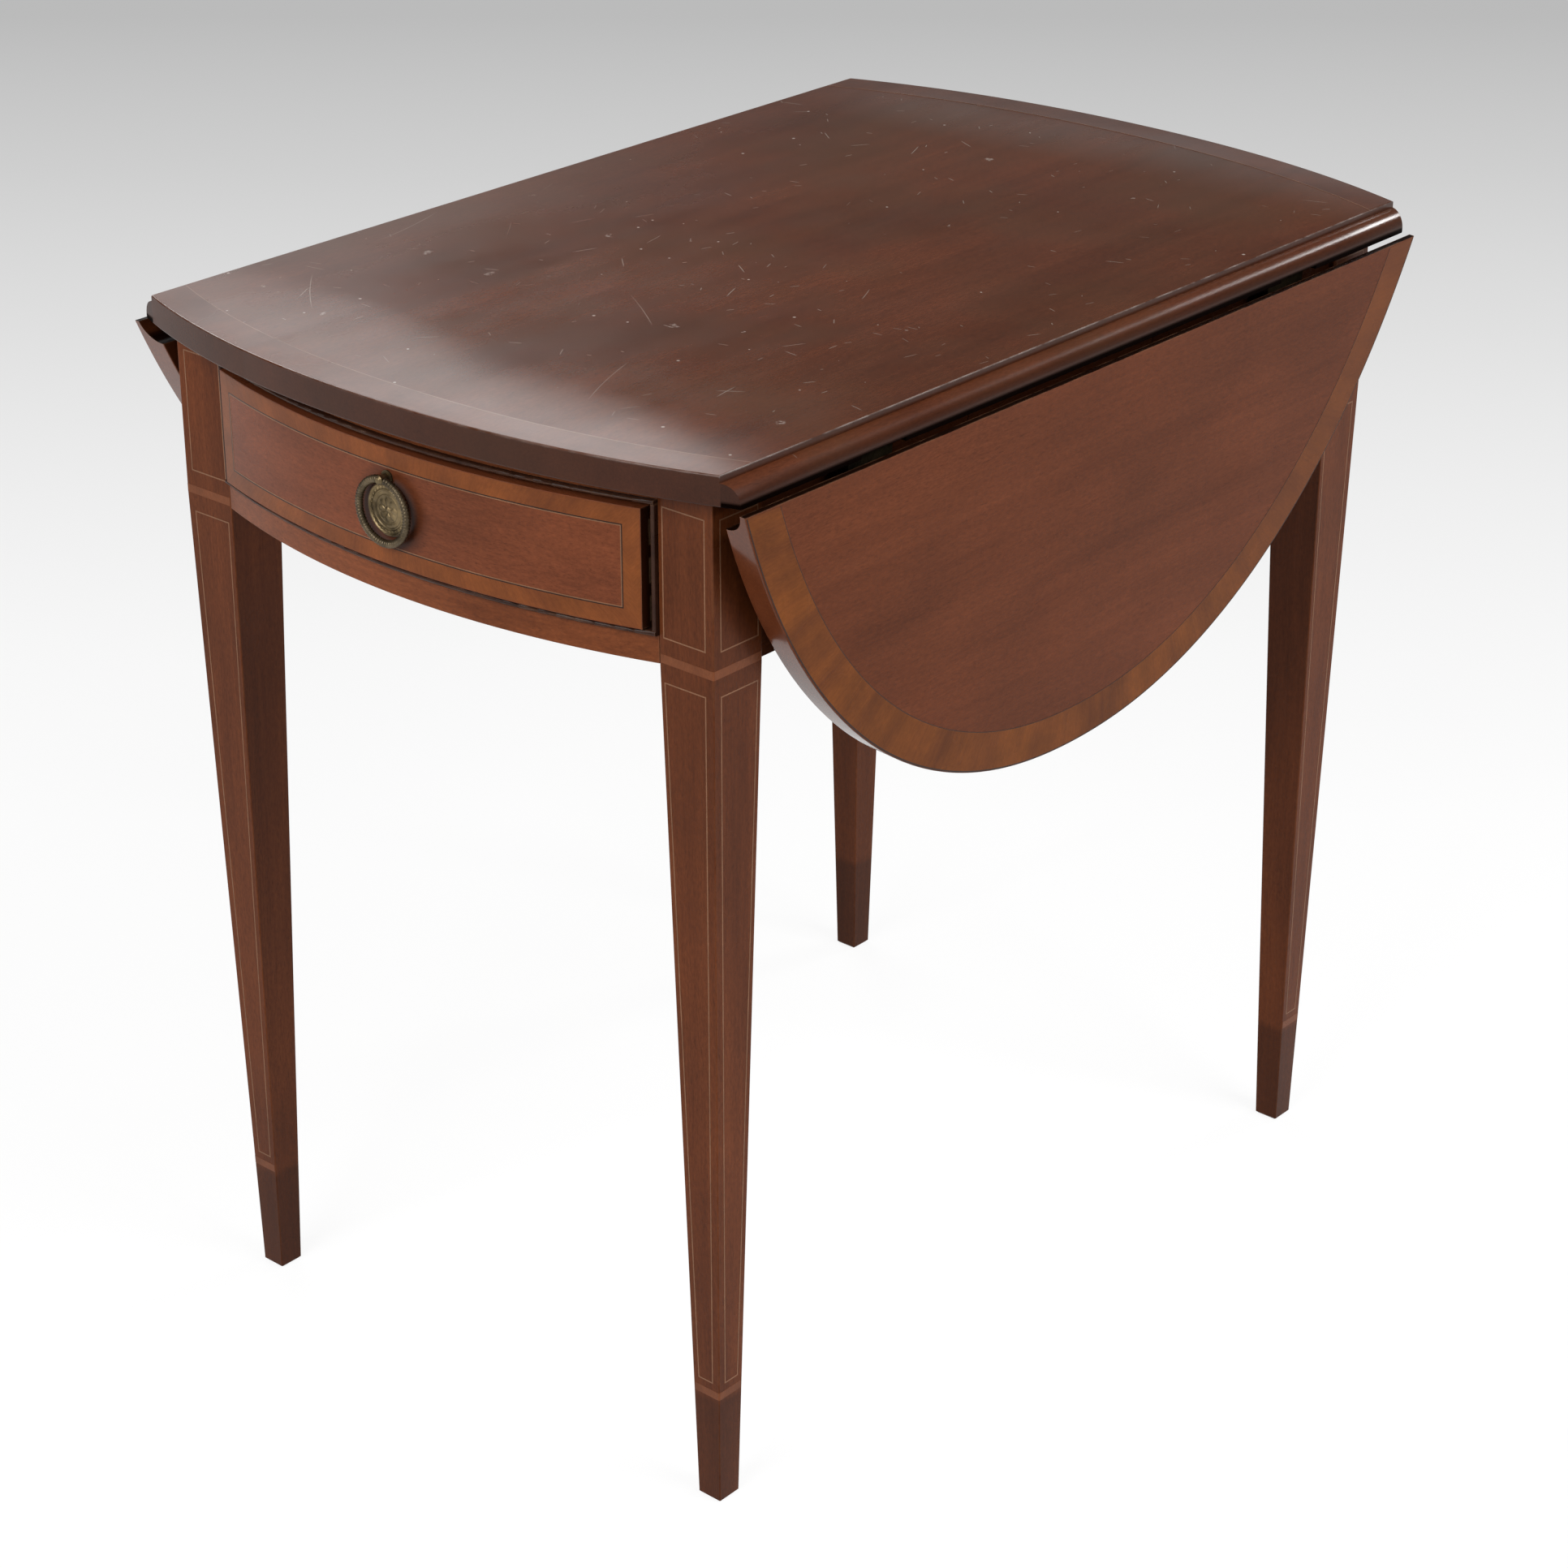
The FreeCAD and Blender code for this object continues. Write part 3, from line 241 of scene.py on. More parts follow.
class Effects:
    """Shader groups that several finishes share, each built once.

    A range is given by its ends, or by its ends and the values there. Places are in metres.
    """

    STREAK_SHARES = (0.62, 0.38)
    STREAKS_SHOWN = (0.32, 0.68)
    GRAIN_SWAY = (5.0, 1.0, (0.0, 0.012, 0.012))
    BEND = 4.0
    LEAST_LENGTH, LINE_FADE = 0.25, (0.55, 1.0, 1.0, 0.0)
    LEAST_SIZE, SPECK_FADE = 0.2, (0.6, 1.0, 1.0, 0.0)
    ARRIS_TURN = (0.995, 0.88)
    WAVE_HEIGHT = 0.5 * MM
    SIDE_LEVEL, SIDE_FALL = 0.12, 0.15
    END_LEVEL, END_FALL = (-0.12, 0.03, 0.258, 0.279), 0.74
    SIDE_HAZE = (-0.075, -0.23)
    END_HAZE, END_HAZE_ACROSS = (0.19, 0.31, 0.0, 0.6), (-0.08, 0.05, 1.0, 0.42)
    HAZE_ROUGHNESS = 0.11

    def __init__(self) -> None:
        """Builds every group."""
        self.grain = self._group("wood_grain", self._grain)
        self.scratches = self._group("scratches", self._scratches, "Density", "Reach", "Width", "Share")
        self.specks = self._group("specks", self._specks, "Density", "Radius", "Share")
        self.edge_wear = self._group("edge_wear", self._edge_wear, "Radius")
        self.grime = self._group("grime", self._grime)
        self.crown = self._group("crown", self._crown)

    @staticmethod
    def _group(name: str, build: Callable[[Graph, Sockets], dict], *values: str) -> bpy.types.NodeTree:
        """Makes a group that takes a place and some values.

        Args:
            name: Name of the group.
            build: Adds its nodes and gives its results by name.
            values: Names of its values.

        Returns:
            The group.
        """
        tree = bpy.data.node_groups.new(name, "ShaderNodeTree")
        graph = Graph(tree)
        tree.interface.new_socket("Vector", in_out="INPUT", socket_type="NodeSocketVector")
        for key in values:
            tree.interface.new_socket(key, in_out="INPUT", socket_type="NodeSocketFloat")
        results = build(graph, graph.raw("NodeGroupInput").outputs)
        for key in results:
            tree.interface.new_socket(key, in_out="OUTPUT", socket_type="NodeSocketFloat")
        graph.raw("NodeGroupOutput", results)
        return tree

    def _grain(self, graph: Graph, given: Sockets) -> dict[str, Socket]:
        """Mahogany grain along the vector's X, in metres.

        Args:
            graph: The group's graph.
            given: Its inputs by name.

        Returns:
            Masks of the streaks, the open pores, broad clouds of tone and a fine tooth, by name.
        """
        place = given["Vector"]
        swayed = graph.stray(place, *self.GRAIN_SWAY)
        layers = zip((BROAD_STREAKS, FINE_STREAKS), self.STREAK_SHARES)
        both = graph.plus(*(graph.times(layer.on(graph, swayed), share) for layer, share in layers))
        results = {"Streaks": graph.span(both, *self.STREAKS_SHOWN), "Pores": PORES.on(graph, swayed)}
        return {**results, "Clouds": CLOUDS.on(graph, place), "Tooth": TOOTH.on(graph, place)}

    @staticmethod
    def _cells(graph: Graph, given: Sockets) -> tuple[Sockets, Socket, Socket]:
        """Scatters marks over a level surface, one to a cell.

        Args:
            graph: The group's graph.
            given: Its inputs by name.

        Returns:
            Three chances of each mark, the place as seen from its mark, and whether the mark is there.
        """
        inputs = {"Vector": given["Vector"], "Scale": given["Density"]}
        cells = graph.add("TexVoronoi", inputs, voronoi_dimensions="2D").outputs
        chance = graph.add("SeparateColor", {0: cells["Color"]}).outputs
        local = graph.vector("SUBTRACT", given["Vector"], cells["Position"])
        return chance, local, graph.math("LESS_THAN", chance[2], given["Share"])

    def _scratches(self, graph: Graph, given: Sockets) -> dict[str, Socket]:
        """Scattered fine scratches, each with its own turn, bend and length.

        Args:
            graph: The group's graph.
            given: Its inputs by name.

        Returns:
            A mask of the scratches, by name.
        """
        chance, local, there = self._cells(graph, given)
        inputs = {"Vector": local, "Angle": graph.times(chance[0], TURN)}
        turned = graph.parts(graph.add("VectorRotate", inputs, rotation_type="Z_AXIS").outputs[0])
        bend = graph.times(graph.math("SUBTRACT", chance[1], 0.5), self.BEND)
        curve = graph.times(turned[0], turned[0], bend)
        off = graph.math("ABSOLUTE", graph.plus(turned[1], curve))
        line = graph.math("SUBTRACT", 1.0, graph.math("DIVIDE", off, given["Width"]), clamp=True)
        reach = graph.times(given["Reach"], graph.plus(chance[1], self.LEAST_LENGTH))
        along = graph.math("DIVIDE", graph.math("ABSOLUTE", turned[0]), reach)
        return {"Mask": graph.times(line, graph.span(along, *self.LINE_FADE), there)}

    def _specks(self, graph: Graph, given: Sockets) -> dict[str, Socket]:
        """Small round specks of many sizes.

        Args:
            graph: The group's graph.
            given: Its inputs by name.

        Returns:
            A mask of the specks, by name.
        """
        chance, local, there = self._cells(graph, given)
        level = graph.vector("MULTIPLY", local, (1.0, 1.0, 0.0))
        size = graph.times(given["Radius"], graph.plus(chance[0], self.LEAST_SIZE))
        away = graph.math("DIVIDE", graph.vector("LENGTH", level), size)
        return {"Mask": graph.times(graph.span(away, *self.SPECK_FADE), there)}

    def _edge_wear(self, graph: Graph, given: Sockets) -> dict[str, Socket]:
        """Broken rubbing along the arrises.

        Args:
            graph: The group's graph.
            given: Its inputs by name.

        Returns:
            A mask of the worn arrises, by name.
        """
        rounded = graph.add("Bevel", {"Radius": given["Radius"]}, samples=4).outputs[0]
        facing = graph.add("NewGeometry").outputs["Normal"]
        turn = graph.span(graph.vector("DOT_PRODUCT", rounded, facing), *self.ARRIS_TURN)
        return {"Mask": graph.times(turn, RUBBING.on(graph, given["Vector"]))}

    @staticmethod
    def _grime(graph: Graph, given: Sockets) -> dict[str, Socket]:
        """Masks of the soft film of handling and old polish, and of finer blotches."""
        return {"Film": FILM.on(graph, given["Vector"]), "Blotches": BLOTCHES.on(graph, given["Vector"])}

    def _crown(self, graph: Graph, given: Sockets) -> dict[str, Socket]:
        """How far age has let the table top fall away, and where its polish has gone hazy.

        Args:
            graph: The group's graph.
            given: Its inputs by name.

        Returns:
            The height in metres, 0 over the level middle, and a mask of the haze, by name.
        """
        across, along, _ = graph.parts(given["Vector"])
        to_end = graph.math("ABSOLUTE", along)
        end_level = graph.span(across, *self.END_LEVEL)
        height = graph.times(WAVES.on(graph, given["Vector"]), self.WAVE_HEIGHT)
        for way, level, fall in ((across, self.SIDE_LEVEL, self.SIDE_FALL), (to_end, end_level, self.END_FALL)):
            past = graph.most(graph.math("SUBTRACT", way, level), 0.0)
            height = graph.plus(height, graph.times(past, past, -fall))
        ends = graph.times(graph.span(to_end, *self.END_HAZE), graph.span(across, *self.END_HAZE_ACROSS))
        return {"Height": height, "Haze": graph.most(graph.span(across, *self.SIDE_HAZE), ends)}

    def crowned(self, graph: Graph, place: Socket) -> tuple[Socket, Socket]:
        """Normal of the top as it falls away towards its edges, and what its haze adds to the roughness."""
        crown = graph.group(self.crown, place)
        return graph.bump(crown["Height"], 1.0, 1.0), graph.times(crown["Haze"], self.HAZE_ROUGHNESS)


def new_material(name: str) -> tuple[bpy.types.Material, Graph]:
    """Starts a material with an empty node tree.

    Args:
        name: Name of the material.

    Returns:
        The material and its graph.
    """
    material = bpy.data.materials.new(name)
    material.use_nodes = True
    return material, Graph(material.node_tree)


@dataclass(frozen=True)
class Finish:
    """A named finish, whose own class sets up the shader."""

    name: str

    def shader(self, graph: Graph, effects: Effects) -> dict:
        """Values and sockets of the Principled shader, by name."""
        raise NotImplementedError

    def build(self, effects: Effects) -> bpy.types.Material:
        """Makes the material.

        Args:
            effects: The shared groups.

        Returns:
            The material.
        """
        material, graph = new_material(self.name)
        shader = graph.add("BsdfPrincipled", self.shader(graph, effects))
        graph.add("OutputMaterial", {"Surface": shader.outputs[0]})
        return material


@dataclass(frozen=True)
class WoodFinish(Finish):
    """A polished or bare wood with solid grain.

    A tone is a share of the dark colour, and a turn is a range of how far a face looks one way. Lengths are in
    millimetres.
    """

    PORE_SHARE, PORE_TONE, PORE_RELIEF, PORE_ROUGHNESS = 0.45, 0.35, 0.25, 0.08
    SOIL_TONE, UNDERSIDE_TONE = 0.15, 0.3
    SHUT_TURN, UNDERSIDE_TURN = (0.45, 0.7), (-0.6, -0.9)
    EDGE_TURN, LIP_TURN = (0.75, 0.5), (0.2, 0.5)
    COAT_ROUGHNESS = 0.12

    grain: Axis
    dark: Triple
    light: Triple
    worn: Triple = (0.20, 0.095, 0.05)
    gloss: Pair = (0.22, 0.34)
    wear: float = 0.5
    pore_depth: float = 0.04
    clouding: float = 0.20
    tooth: float = 0.16
    specular: float = 0.14
    # Faces that look along this way take painted shade; the next value sets how dark it goes.
    shut_faces: Optional[Triple] = None
    shut_tone: float = 0.05
    # Axis, heights where the darkening starts and is full, and its share: soil on the legs' feet, painted shade on the
    # drawer sides by the front.
    soil: Optional[tuple[str, float, float, float]] = None
    edge_coat: float = 0.0
    # Share of painted shade on faces that look in towards the table, such as the hanging leaf's inner face.
    underside: float = 0.0

    def _deepened(self, graph: Graph, tone: Tone, share: Value, depth: float) -> Socket:
        """Mixes in a share of the dark tone, itself taken down to a depth."""
        return graph.mix(share, tone, scaled(self.dark, depth))

    def _grained(self, graph: Graph, effects: Effects) -> tuple[Socket, Sockets, Socket]:
        """Lays the grain along its axis.

        Args:
            graph: The material's graph.
            effects: The shared groups.

        Returns:
            The place, the grain's masks and the grain's colour.
        """
        place = graph.place()
        parts = graph.parts(place)
        grain = graph.group(effects.grain, graph.joined(*(parts[key] for key in self.grain.value)))
        tone = graph.mix(grain["Streaks"], self.dark, self.light)
        clouds = graph.ranged(grain["Clouds"], 1.0 - self.clouding, 1.0 + self.clouding)
        tooth = graph.ranged(grain["Tooth"], 1.0 - self.tooth, 1.0 + self.tooth)
        tone = graph.shaded(tone, clouds, tooth)
        tone = self._deepened(graph, tone, graph.times(grain["Pores"], self.PORE_SHARE), self.PORE_TONE)
        return place, grain, self._soiled(graph, parts, tone)

    def _soiled(self, graph: Graph, parts: Sockets, tone: Socket) -> Socket:
        """Darkens one end of a piece, by soil on the legs' feet and as painted shade on the drawer sides, and paints
        shade on chosen faces and on faces that look in towards the table.

        Args:
            graph: The material's graph.
            parts: Sockets of the place, by axis, in metres.
            tone: Socket of the colour.

        Returns:
            The darkened colour's socket.
        """
        # One end darkened: soil on the legs' feet, painted shade on the drawer sides.
        if self.soil:
            axis, clean, full, share = self.soil
            foul = graph.span(parts[axis], clean * MM, full * MM, 0.0, share)
            tone = self._deepened(graph, tone, foul, self.SOIL_TONE)
        # Painted shade on the faces that look one way, such as the leaf's lands in the joint and the drawer front's
        # ends.
        if self.shut_faces:
            facing = graph.place("Normal")
            way = graph.vector("ABSOLUTE", facing) if self.shut_faces[0] else facing
            shut = graph.span(graph.vector("DOT_PRODUCT", way, self.shut_faces), *self.SHUT_TURN)
            tone = self._deepened(graph, tone, shut, self.shut_tone)
        # Painted shade on faces that look in towards the table.
        if self.underside:
            inward = graph.times(graph.parts(graph.place("Normal"))[0], graph.math("SIGN", parts[0]))
            under = graph.span(inward, *self.UNDERSIDE_TURN, 0.0, self.underside)
            tone = self._deepened(graph, tone, under, self.UNDERSIDE_TONE)
        return tone

    def shader(self, graph: Graph, effects: Effects) -> dict:
        """Sets up the shader.

        Args:
            graph: The material's graph.
            effects: The shared groups.

        Returns:
            Values and sockets of the Principled shader, by name.
        """
        place, grain, tone = self._grained(graph, effects)
        film = graph.group(effects.grime, place)
        edges = graph.group(effects.edge_wear, place, Radius=WOOD_ARRIS)
        dull = graph.times(grain["Pores"], self.PORE_ROUGHNESS)
        shader = {
            "Base Color": graph.mix(graph.times(edges["Mask"], self.wear), tone, self.worn),
            "Roughness": graph.plus(graph.ranged(film["Film"], *self.gloss), dull),
            "Normal": graph.bump(grain["Pores"], self.PORE_RELIEF, self.pore_depth * MM, sunk=True),
            "Specular IOR Level": self.specular,
        }
        if self.edge_coat:
            facing = graph.parts(graph.place("Normal"))
            turned = graph.span(graph.math("ABSOLUTE", facing[0]), *self.EDGE_TURN, 0.0, self.edge_coat)
            shader["Coat Weight"] = graph.times(turned, graph.span(facing[2], *self.LIP_TURN, 1.0, 0.0))
            shader["Coat Roughness"] = self.COAT_ROUGHNESS
        return shader


@dataclass(frozen=True)
class TopFinish(WoodFinish):
    """The worn polish of the table top, with scratches, specks, scuffs and dull patches, painted shade on the lower
    ovolo, dirt and painted shadow in the rule joint, and a pale arris that is partly wear and partly painted
    highlight.
    """

    HOLLOW_TONE, JOINT_TONE = 0.2, 0.05
    JOINT_ROUGHNESS, BLOTCH_ROUGHNESS, COAT_ROUGHNESS = 0.6, 0.022, 0.18
    LEVEL_TURN, SIDE_TURN, HOLLOW_TURN = (0.90, 0.99), (0.2, 0.8), (0.85, 0.45)
    CREST_TURNS, RIM_TURNS = ((0.48, 0.66), (0.97, 0.90)), ((0.6, 0.8), (0.998, 0.975))
    OVOLO_START = (0.2, 0.8)
    SCUFF_STRAY = (160.0, 2.0, (0.010, 0.010, 0.0))

    scratch: Triple = (0.34, 0.29, 0.25)
    speck: Triple = (0.42, 0.36, 0.32)
    mark_share: float = 0.85
    scuff_share: float = 0.5
    patina: Triple = (0.078, 0.0345, 0.0165)
    # Where the rule joint starts across, and the heights where its dirt and painted shadow begin and are full, in
    # millimetres.
    joint: Triple = (242.5, 709.5, 707.5)
    arris: Pair = (722.4, 723.2)
    edge_shade: float = 0.52
    ovolo_shade: float = 0.38
    crest_coat: float = 0.4
    rim_coat: float = 0.9
    film_stretch: Triple = (1.3, 0.6, 1.0)
    scratch_layers: tuple[tuple[float, ...], ...] = (
        (8.0, 34.0, 0.40, 0.28), (22.0, 9.0, 0.44, 0.27), (52.0, 4.0, 0.44, 0.15)
    )
    speck_layer: Triple = (30.0, 1.15, 0.17)
    scuff_layer: Triple = (13.0, 4.2, 0.20)

    @staticmethod
    def _coat(graph: Graph, up: Socket, turns: tuple[Pair, Pair], weight: float) -> Socket:
        """Weight of the fresh polish where a rounding turns between two ranges of the way up."""
        return graph.times(graph.span(up, *turns[0]), graph.span(up, *turns[1], 0.0, weight))

    def _marked(self, graph: Graph, effects: Effects, place: Socket, face: Socket, tone: Socket) -> Socket:
        """Adds the scuffs, scratches and specks.

        Args:
            graph: The material's graph.
            effects: The shared groups.
            place: Socket of the place.
            face: Mask of the level face.
            tone: Socket of the colour.

        Returns:
            The marked colour's socket.
        """
        def specks(spot: Socket, layer: Triple) -> Socket:
            """Mask of one layer of specks."""
            density, radius, share = layer
            return graph.group(effects.specks, spot, Density=density, Radius=radius * MM, Share=share)["Mask"]

        scratches = []
        for density, reach, width, share in self.scratch_layers:
            sizes = {"Density": density, "Reach": reach * MM, "Width": width * MM, "Share": share}
            scratches.append(graph.group(effects.scratches, place, **sizes)["Mask"])
        scratched = graph.times(graph.most(*scratches), face, WORN_PLACES.on(graph, place))
        ragged = graph.stray(place, *self.SCUFF_STRAY)
        scuffs = graph.times(specks(ragged, self.scuff_layer), FLECKS.on(graph, place))
        tone = graph.mix(graph.times(scuffs, face, self.scuff_share), tone, self.speck)
        tone = graph.mix(graph.times(scratched, self.mark_share), tone, self.scratch)
        return graph.mix(graph.times(specks(place, self.speck_layer), face, self.mark_share), tone, self.speck)

    def shader(self, graph: Graph, effects: Effects) -> dict:
        """Sets up the shader.

        Args:
            graph: The material's graph.
            effects: The shared groups.

        Returns:
            Values and sockets of the Principled shader, by name.
        """
        place, _, tone = self._grained(graph, effects)
        across, _, height = graph.parts(place)
        up = graph.parts(graph.add("NewGeometry").outputs["Normal"])[2]
        film = graph.group(effects.grime, graph.vector("MULTIPLY", place, self.film_stretch))
        edges = graph.group(effects.edge_wear, place, Radius=WOOD_ARRIS)
        inset, clean, foul = scaled(self.joint, MM)
        past = graph.math("SUBTRACT", graph.math("ABSOLUTE", across), inset)
        ovolo = graph.span(past, *scaled(self.OVOLO_START, MM))
        # Dirt and painted shadow in the rule joint: near black, metallic and rough so that it shows no reflection.
        joint = graph.times(ovolo, graph.span(height, clean, foul))
        # Painted shade on the lower part of the ovolo, down in the rule joint.
        hollow = graph.times(ovolo, graph.span(up, *self.HOLLOW_TURN, 0.0, self.ovolo_shade))
        tone = graph.mix(PATINA.on(graph, place), tone, self.patina)
        tone = self._deepened(graph, tone, graph.span(up, *self.SIDE_TURN, self.edge_shade, 0.0), self.HOLLOW_TONE)
        tone = self._deepened(graph, tone, hollow, self.HOLLOW_TONE)
        tone = self._deepened(graph, tone, joint, self.JOINT_TONE)
        # The pale worn colour along the top arris is partly wear and partly painted highlight.
        rubbed = graph.span(height, *scaled(self.arris, MM), 0.0, self.wear)
        tone = graph.mix(graph.times(edges["Mask"], rubbed), tone, self.worn)
        crest = graph.times(ovolo, self._coat(graph, up, self.CREST_TURNS, self.crest_coat))
        rim = self._coat(graph, up, self.RIM_TURNS, self.rim_coat)
        rim = graph.times(rim, graph.math("SUBTRACT", 1.0, ovolo))
        normal, haze = effects.crowned(graph, place)
        blotches = graph.times(film["Blotches"], self.BLOTCH_ROUGHNESS)
        dirt = graph.times(joint, self.JOINT_ROUGHNESS)
        return {
            "Base Color": self._marked(graph, effects, place, graph.span(up, *self.LEVEL_TURN), tone),
            "Roughness": graph.plus(graph.ranged(film["Film"], *self.gloss), blotches, dirt, haze),
            # Metallic keeps reflections out of the joint's painted shadow.
            "Metallic": joint,
            "Normal": normal,
            "Coat Weight": graph.most(crest, rim),
            "Coat Roughness": self.COAT_ROUGHNESS,
            "Specular IOR Level": self.specular,
        }


@dataclass(frozen=True)
class HandledFinish(WoodFinish):
    """Polish darkened round a pull, partly by hands and old polish and partly as painted shade of the ring."""

    SPOT_TONE = 0.2

    spot: Triple = (2.0, -373.0, 647.0)
    reach: Pair = (21.5, 33.0)
    depth: float = 0.72

    def _soiled(self, graph: Graph, parts: Sockets, tone: Socket) -> Socket:
        """Darkens the patch round the pull, by handling and as painted shade of the ring, and all that the plain wood
        darkens, painted shade included.

        Args:
            graph: The material's graph.
            parts: Sockets of the place, by axis, in metres.
            tone: Socket of the colour.

        Returns:
            The darkened colour's socket.
        """
        tone = super()._soiled(graph, parts, tone)
        # Handling and painted shade of the ring darken the patch round the pull.
        away = graph.vector("LENGTH", graph.vector("SUBTRACT", graph.joined(*parts), scaled(self.spot, MM)))
        share = graph.span(away, *scaled(self.reach, MM), self.depth, 0.0)
        return self._deepened(graph, tone, share, self.SPOT_TONE)


@dataclass(frozen=True)
class InlayFinish(Finish):
    """Veneer with its grain across the strip, in soft patches, mapped along the strip in metres, and greyed along part
    of the strip as painted sheen where asked.
    """

    PATCH_SQUEEZE, PATCHES_SHOWN = 0.4, (0.32, 0.68)
    BLOTCHING, TOOTHING = (0.86, 1.12), (0.88, 1.12)
    PORE_RELIEF, PORE_DEPTH = 0.06, 0.03 * MM

    dark: Triple
    light: Triple
    patch_length: float = 45.0
    gloss: Pair = (0.24, 0.36)
    specular: float = 0.14
    on_top: bool = False
    # Painted sheen: from where to where along the strip, in millimetres, the colour turns towards the greyer tone
    # below, and how far.
    fade: Triple = (0.0, 1.0, 0.0)
    faded: Triple = (0.140, 0.046, 0.021)

    def shader(self, graph: Graph, effects: Effects) -> dict:
        """Sets up the shader.

        Args:
            graph: The material's graph.
            effects: The shared groups.

        Returns:
            Values and sockets of the Principled shader, by name.
        """
        place = graph.place()
        along, across, _ = graph.parts(graph.place("UV"))
        grain = graph.group(effects.grain, graph.joined(across, along, 0.0))
        film = graph.group(effects.grime, place)
        patches = Mottle((1.0 / (self.patch_length * MM),) * 3, 1.0, shown=self.PATCHES_SHOWN)
        patch = patches.on(graph, graph.joined(along, graph.times(across, self.PATCH_SQUEEZE)))
        tone = graph.mix(graph.times(graph.plus(grain["Streaks"], patch), 0.5), self.dark, self.light)
        blotches = graph.ranged(film["Blotches"], *self.BLOTCHING)
        tone = graph.shaded(tone, blotches, graph.ranged(grain["Tooth"], *self.TOOTHING))
        # Painted sheen greys the colour along part of the strip.
        start, end, share = self.fade
        if share:
            tone = graph.mix(graph.span(along, start * MM, end * MM, 0.0, share), tone, self.faded)
        rough = graph.ranged(film["Film"], *self.gloss)
        under = {}
        if self.on_top:
            under["Normal"], haze = effects.crowned(graph, place)
            rough = graph.plus(rough, haze)
        normal = graph.bump(grain["Pores"], self.PORE_RELIEF, self.PORE_DEPTH, sunk=True, **under)
        return {"Base Color": tone, "Roughness": rough, "Normal": normal, "Specular IOR Level": self.specular}


@dataclass(frozen=True)
class MetalFinish(Finish):
    """A metal dulled by age."""

    TARNISH = (0.75, 1.0)
    PIT_RELIEF, PIT_DEPTH = 0.3, 0.08 * MM

    bright: Triple
    dull: Triple
    gloss: Pair
    rub: float = 0.5
    film_stretch: Triple = (9.0, 9.0, 9.0)

    def shader(self, graph: Graph, effects: Effects) -> dict:
        """Sets up the shader.

        Args:
            graph: The material's graph.
            effects: The shared groups.

        Returns:
            Values and sockets of the Principled shader, by name.
        """
        place = graph.place()
        film = graph.group(effects.grime, graph.vector("MULTIPLY", place, self.film_stretch))
        edges = graph.group(effects.edge_wear, place, Radius=BRASS_ARRIS)
        tone = graph.mix(film["Film"], self.dull, self.bright)
        return {
            "Base Color": graph.mix(graph.times(edges["Mask"], self.rub), tone, self.bright),
            "Metallic": graph.ranged(film["Blotches"], *self.TARNISH),
            "Roughness": graph.ranged(film["Blotches"], *self.gloss),
            "Normal": graph.bump(film["Blotches"], self.PIT_RELIEF, self.PIT_DEPTH),
        }


# Its pale worn colour on the arris is partly wear and partly painted highlight.
TOP_WOOD = TopFinish(
    "top_polish", Axis.Y, (0.074, 0.0208, 0.0086), (0.107, 0.0303, 0.0124), (0.40, 0.34, 0.31), (0.16, 0.23), 0.8,
    clouding=0.26, specular=0.18,
)
# The leaf's upward lands in the rule joint and its inner face carry painted shade.
LEAF_WOOD = WoodFinish(
    "leaf_polish", Axis.Y, (0.110, 0.0280, 0.0095), (0.150, 0.0405, 0.0145), shut_faces=(0, 0, 1), specular=0.06,
    edge_coat=0.45, underside=0.8,
)
LEFT_LEAF_WOOD = replace(LEAF_WOOD, name="left_leaf_polish", edge_coat=1.0)
LEG_WOOD = WoodFinish(
    "leg_polish", Axis.Z, (0.092, 0.0232, 0.0070), (0.158, 0.0427, 0.0135), specular=0.09, soil=("Z", 83.0, 77.0, 0.42)
)
RAIL_WOOD = WoodFinish("rail_polish", Axis.X, (0.128, 0.0325, 0.0090), (0.232, 0.0645, 0.0200))
SIDE_WOOD = WoodFinish("side_rail_polish", Axis.Y, (0.060, 0.017, 0.0065), (0.110, 0.032, 0.012), wear=0.3)
# The drawer front's ends, in their narrow gaps, carry painted shade.
DRAWER_WOOD = HandledFinish(
    "drawer_polish", Axis.X, (0.130, 0.034, 0.0125), (0.204, 0.055, 0.021), shut_faces=(1, 0, 0), shut_tone=0.2
)
BEAD_WOOD = WoodFinish("bead_polish", Axis.X, (0.020, 0.008, 0.005), (0.046, 0.017, 0.010), wear=0.8)
OAK = WoodFinish("lining_oak", Axis.Y, (0.23, 0.13, 0.065), (0.40, 0.25, 0.14), (0.45, 0.3, 0.18), (0.6, 0.8), 0.2)
# The drawer sides are darkened near the front as painted shade in the gap beside the drawer front.
DRAWER_OAK = replace(OAK, name="drawer_oak", soil=("Y", -322.0, -330.0, 0.7))
BAND = InlayFinish("crossband", (0.126, 0.0350, 0.0110), (0.240, 0.0695, 0.0165))
# Its colour greys towards the back end as painted sheen.
LEAF_BAND = InlayFinish(
    "leaf_crossband", (0.102, 0.0290, 0.0094), (0.226, 0.0670, 0.0124), specular=0.06, fade=(560.0, 940.0, 0.7)
)
TOP_BAND = InlayFinish(
    "top_crossband", (0.070, 0.0200, 0.0084), (0.112, 0.0330, 0.0136), 90.0, (0.16, 0.23), 0.18, on_top=True
)
LEG_BAND = InlayFinish("leg_band", (0.136, 0.040, 0.0145), (0.196, 0.0625, 0.0235), 400.0)
PALE_STRING = InlayFinish("pale_string", (0.200, 0.092, 0.047), (0.270, 0.135, 0.075), 900.0)
TOP_STRING = InlayFinish(
    "top_string", (0.135, 0.066, 0.040), (0.180, 0.090, 0.055), 900.0, (0.15, 0.24), 0.18, on_top=True
)
DARK_STRING = InlayFinish("dark_string", (0.022, 0.010, 0.006), (0.036, 0.016, 0.010), 900.0)
